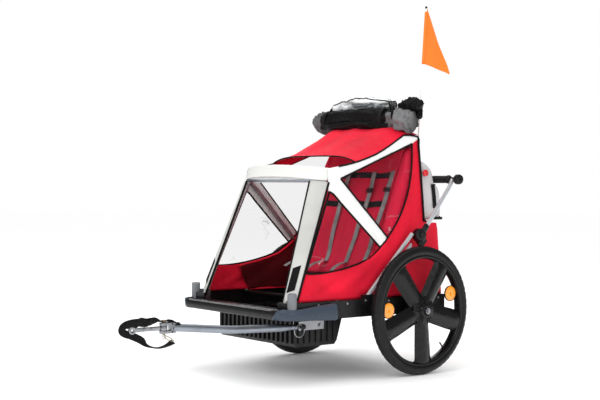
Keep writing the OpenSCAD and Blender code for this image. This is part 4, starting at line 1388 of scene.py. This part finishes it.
def build_tow_arm():
    """The tube that flattens towards its front, with the clevis, its bolt and the locking pin's knob."""
    path = spline([P(ARM_X, -427, 213), P(ARM_X, -480, 212.6), P(ARM_X, -560, 211.4), P(ARM_X, -640, 213.7),
                   P(ARM_X, -740, 217), P(269.5, -800, 219.2), P(266, -836, 221), P(256, -884, 225),
                   P(241, -956, 231), P(225.5, -1030, 237.4), P(223.5, -1040, 238)], 90)

    def section(i, n):
        y = (path[i].y - AXLE_Y) / MM
        flat = max(0.0, min(1.0, (y + 610) / 50))
        return boxed(14 - 2.2 * flat, 14 - 4.4 * flat, 1 - 0.35 * flat, 28)

    arm = piece("tow_shaft", *sweep(path, section, side=(1, 0, 0)), "alu", "tow_arm")
    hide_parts("tow_tube")
    nose = [(HITCH_X + 12 * math.sin(a), -1080 - 12 * math.cos(a))
            for a in (math.radians(15 * k - 90) for k in range(13))]
    outline = [(208, -1042)] + nose + [(232, -1042)]
    plates = [prism_net([P(x, y, z) for x, y in outline], Vector((0, 0, 10.4 * MM))) for z in (219.2, 246.5)]
    plates.append(prism_net([P(x, -1052, z) for x, z in ((208, 219), (232, 219), (232, 257), (208, 257))],
                            Vector((0, 0.020, 0))))
    clevis = piece("tow_clevis", *join(*plates), "zinc", "tow_arm", smooth=False, bevel=0.0022)
    knob = piece("tow_pin_knob",
                 *lathe([(0.5, 301), (5, 300.6), (8.5, 298.5), (10, 295), (10, 291.5), (9, 290), (5, 289.6),
                                         (0.5, 289.6)], 32, across(ARM_PIN_Y, ARM_Z)), "buckle", "tow_arm")
    pin = lathe([(0.4, 266.5), (6, 266.3), (8.6, 265), (9, 263), (9, 259.5), (8, 258), (5, 257.4), (5, 217),
                 (4.3, 214.4),
                 (0.4, 214)], 32, upright(HITCH_X, HITCH_Y))
    clip = [P(HITCH_X + 9 * math.cos(a), HITCH_Y + 2, 216 - 7 + 9 * math.sin(a)) for a in
            (math.radians(18 * k) for k in range(20))]
    bolt = piece("hitch_bolt", *join(pin, sweep(clip, ring(1.1 * MM, 8), side=(0, 1, 0), closed=True)),
                 "brass", "tow_arm")
    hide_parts("hitch_pin")


def build_hitch():
    """The swivelling link with its eye, the safety strap looped round it and the strap's wire ring."""
    boss = lathe([(5.3, 230.2), (12, 230.2), (13, 231.5), (13, 244.5), (12, 245.8), (5.3, 245.8)], 36,
                 upright(HITCH_X, HITCH_Y))
    eye = lathe([(5.2, 215.5), (13, 215.5), (14, 216.5), (14, 223.5), (13, 224.5), (5.2, 224.5)], 40,
                across(EYE_Y, HITCH_Z))
    bar = [P(HITCH_X, y, HITCH_Z) for y in (HITCH_Y - 9, -1096, -1120, -1150, -1180, EYE_Y + 10)]

    def section(i, n):
        return boxed((4.6, 4.2, 4, 4, 4, 4)[i], (7.6, 7.8, 7.2, 7.0, 7.8, 8.2)[i], 0.4, 20)

    nets = [boss, eye, sweep(bar, section, side=(1, 0, 0))]
    nets += [lathe([(0.4, 227.4), (3.6, 226.8), (4.6, 225), (4.6, 223.6), (0.4, 223.6)], 20,
                   across(y, HITCH_Z))
             for y in (-1128, -1156)]
    plate = piece("hitch_link", *join(*nets), "zinc", "hitch")
    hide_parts("hitch_plate")

    def strap_net(course, n):
        """A strap through points y, z, x, turn; turn is 0 lying flat and 1 standing on edge."""
        pts = spline([Vector((y, z, x, 100 * turn)) for y, z, x, turn in course], n)
        sides = []
        for i, p in enumerate(pts):
            t = pts[min(i + 1, len(pts) - 1)] - pts[max(i - 1, 0)]
            t = Vector((0, -t.y, t.x)).normalized()
            w = p.w / 100
            sides.append((Vector((1, 0, 0)) * (1 - abs(w)) + t * w).normalized())
        return sweep([P(p.z, p.x, p.y) for p in pts], slab(0.026, 0.0028), side=lambda i: sides[i])

    top = [(-1064, 263, 220, 0), (-1098, 262, 220, 0), (-1126, 262, 221, -0.75), (-1168, 264, 222, -0.9),
           (-1208, 262, 223, -1),
           (-1233, 254, 222, -1), (-1240, 240, 220, -1), (-1228, 229, 219, -1), (-1200, 219, 219, -1),
           (-1166, 203, 220, -0.95),
           (-1140, 183, 223, -0.35), (-1106, 173, 227, -0.08), (-1074, 178, 231, -0.1),
           (-1046, 191, 234, -0.35)]
    over = [(-1096, 262, 224, 0), (-1112, 266, 226, -0.5), (-1128, 266, 227, -0.7), (-1141, 253, 226, -0.4),
            (-1152, 262, 226, -0.5), (-1170, 268, 226, -0.8), (-1188, 259, 227, -0.8),
            (-1208, 263, 227, -0.9), (-1226, 256, 226, -0.9)]
    under = [(-1108, 257, 217, -0.3), (-1126, 264, 216, -0.8), (-1146, 258, 216, -0.9),
             (-1176, 262, 217, -0.9),
             (-1200, 258, 217, -0.9)]
    strap = piece("hitch_webbing", *join(strap_net(top, 110), strap_net(over, 60), strap_net(under, 36)),
                  "tow_web", "hitch")
    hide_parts("safety_strap")
    tail = piece("webbing_tail", *join(
        sweep(spline([P(226, -1016, 249.5), P(224, -1034, 253), P(220, -1046, 260.5), P(220, -1062, 260.6)],
                     24),
              slab(0.024, 0.0036), side=(1, 0, 0)),
        sweep(spline([P(227, -1018, 253.5), P(224, -1034, 257), P(220, -1046, 264), P(220, -1058, 264.4)],
                     24),
              slab(0.023, 0.0030), side=(1, 0, 0))), "tow_web", "tow_arm")
    low, high = Vector((234, -1045, 192)), Vector((221, -1075, 211))
    along = (high - low).normalized()
    wide = along.cross(Vector((1, 0, 0))).normalized()
    link = [P(*((low + high) / 2 + along * 19 * math.cos(t) + wide * 4.8 * math.sin(t))) for t in
            (math.radians(15 * k) for k in range(24))]
    hook = piece("hitch_ring", *sweep(link, ring(1.6 * MM, 8), side=(1, 0, 0), closed=True), "brass", "hitch")


build_tow_arm()
build_hitch()


# ---------------------------------------------------------------- rivets and screws
def dome(at, r, h):
    """A rivet head r across and h high; at(u, v, h) places it."""
    return lathe([(0.2, h), (r * 0.45, h * 0.9), (r * 0.8, h * 0.6), (r, h * 0.15), (r, 0), (0.2, 0)], 20, at)


STRUT_FOOT_X = 335.1      # the outer face of the struts' feet


def build_rivets():
    """Rivet heads in the tray's front, its sides and the struts' feet."""
    heads = []
    for x in (-210, -90, 90, 210):
        for y in (-570, -540):
            heads.append(dome(lambda u, v, h, x=x, y=y: P(x + u, y + v, 242 + h), 6, 3))
    for s in (1, -1):
        for y in (-470, -330, -120, 60, 150):
            heads.append(dome(lambda u, v, h, s=s, y=y: P(s * (318 + h), y + u, 290 + v), 5, 2.4))
        for y in (-254, -200):
            heads.append(dome(lambda u, v, h, s=s, y=y: P(s * (STRUT_FOOT_X + h), y + u, 300 + v), 4.5, 2.2))
    rivets = piece("tray_rivets", *join(*heads), "zinc")


build_rivets()


# ---------------------------------------------------------------- carried-over CAD nodes
def finish_node(names, mat, bevel=0.0):
    """The look of the CAD's own solids, and a small rounding of their edges."""
    for name in names.split():
        obj = NODES[name]
        for slot in obj.material_slots:
            slot.material = MAT[mat]
        if not obj.material_slots:
            obj.data.materials.append(MAT[mat])
        if bevel:
            mod = obj.modifiers.new("edge", "BEVEL")
            mod.width, mod.segments, mod.limit_method, mod.angle_limit = bevel, 2, "ANGLE", 0.7


finish_node("tray", "tray", 0.0015)
finish_node("footwell", "tub", 0.0015)
finish_node("caster_sockets", "socket", 0.0015)
finish_node("axle_brackets strut_feet hinge_hubs flag_socket", "tray", 0.0012)
# painted shade: the aluminium seat tubes get the black tray plastic, standing for the shade inside the cabin
finish_node("seat_tubes", "tray")
finish_node("axle_tube front_hoop_tube rear_hoop_tube", "alu")
finish_node("side_struts", "silver")
finish_node("axle_pins front_pivots tow_pivot_bolt tow_lock_pin bearings_left bearings_right tow_bracket",
            "zinc", 0.0006)
finish_node("release_button_left release_button_right", "zinc", 0.0015)
finish_node("flag_pole", "rod")

# ---------------------------------------------------------------- floor
floor = bpy.data.objects.new("floor", bpy.data.meshes.new("floor"))
floor.data.from_pydata([(-30, -30, 0), (30, -30, 0), (30, 30, 0), (-30, 30, 0)], [], [(0, 1, 2, 3)])
bpy.context.collection.objects.link(floor)
paper = Look("paper", (0.99, 0.99, 0.99), 0.9, Specular_IOR_Level=0.0)
floor.data.materials.append(paper.tint(paper.noise(1.5), (0.985, 0.985, 0.985), (0.995, 0.995, 0.995)).m)
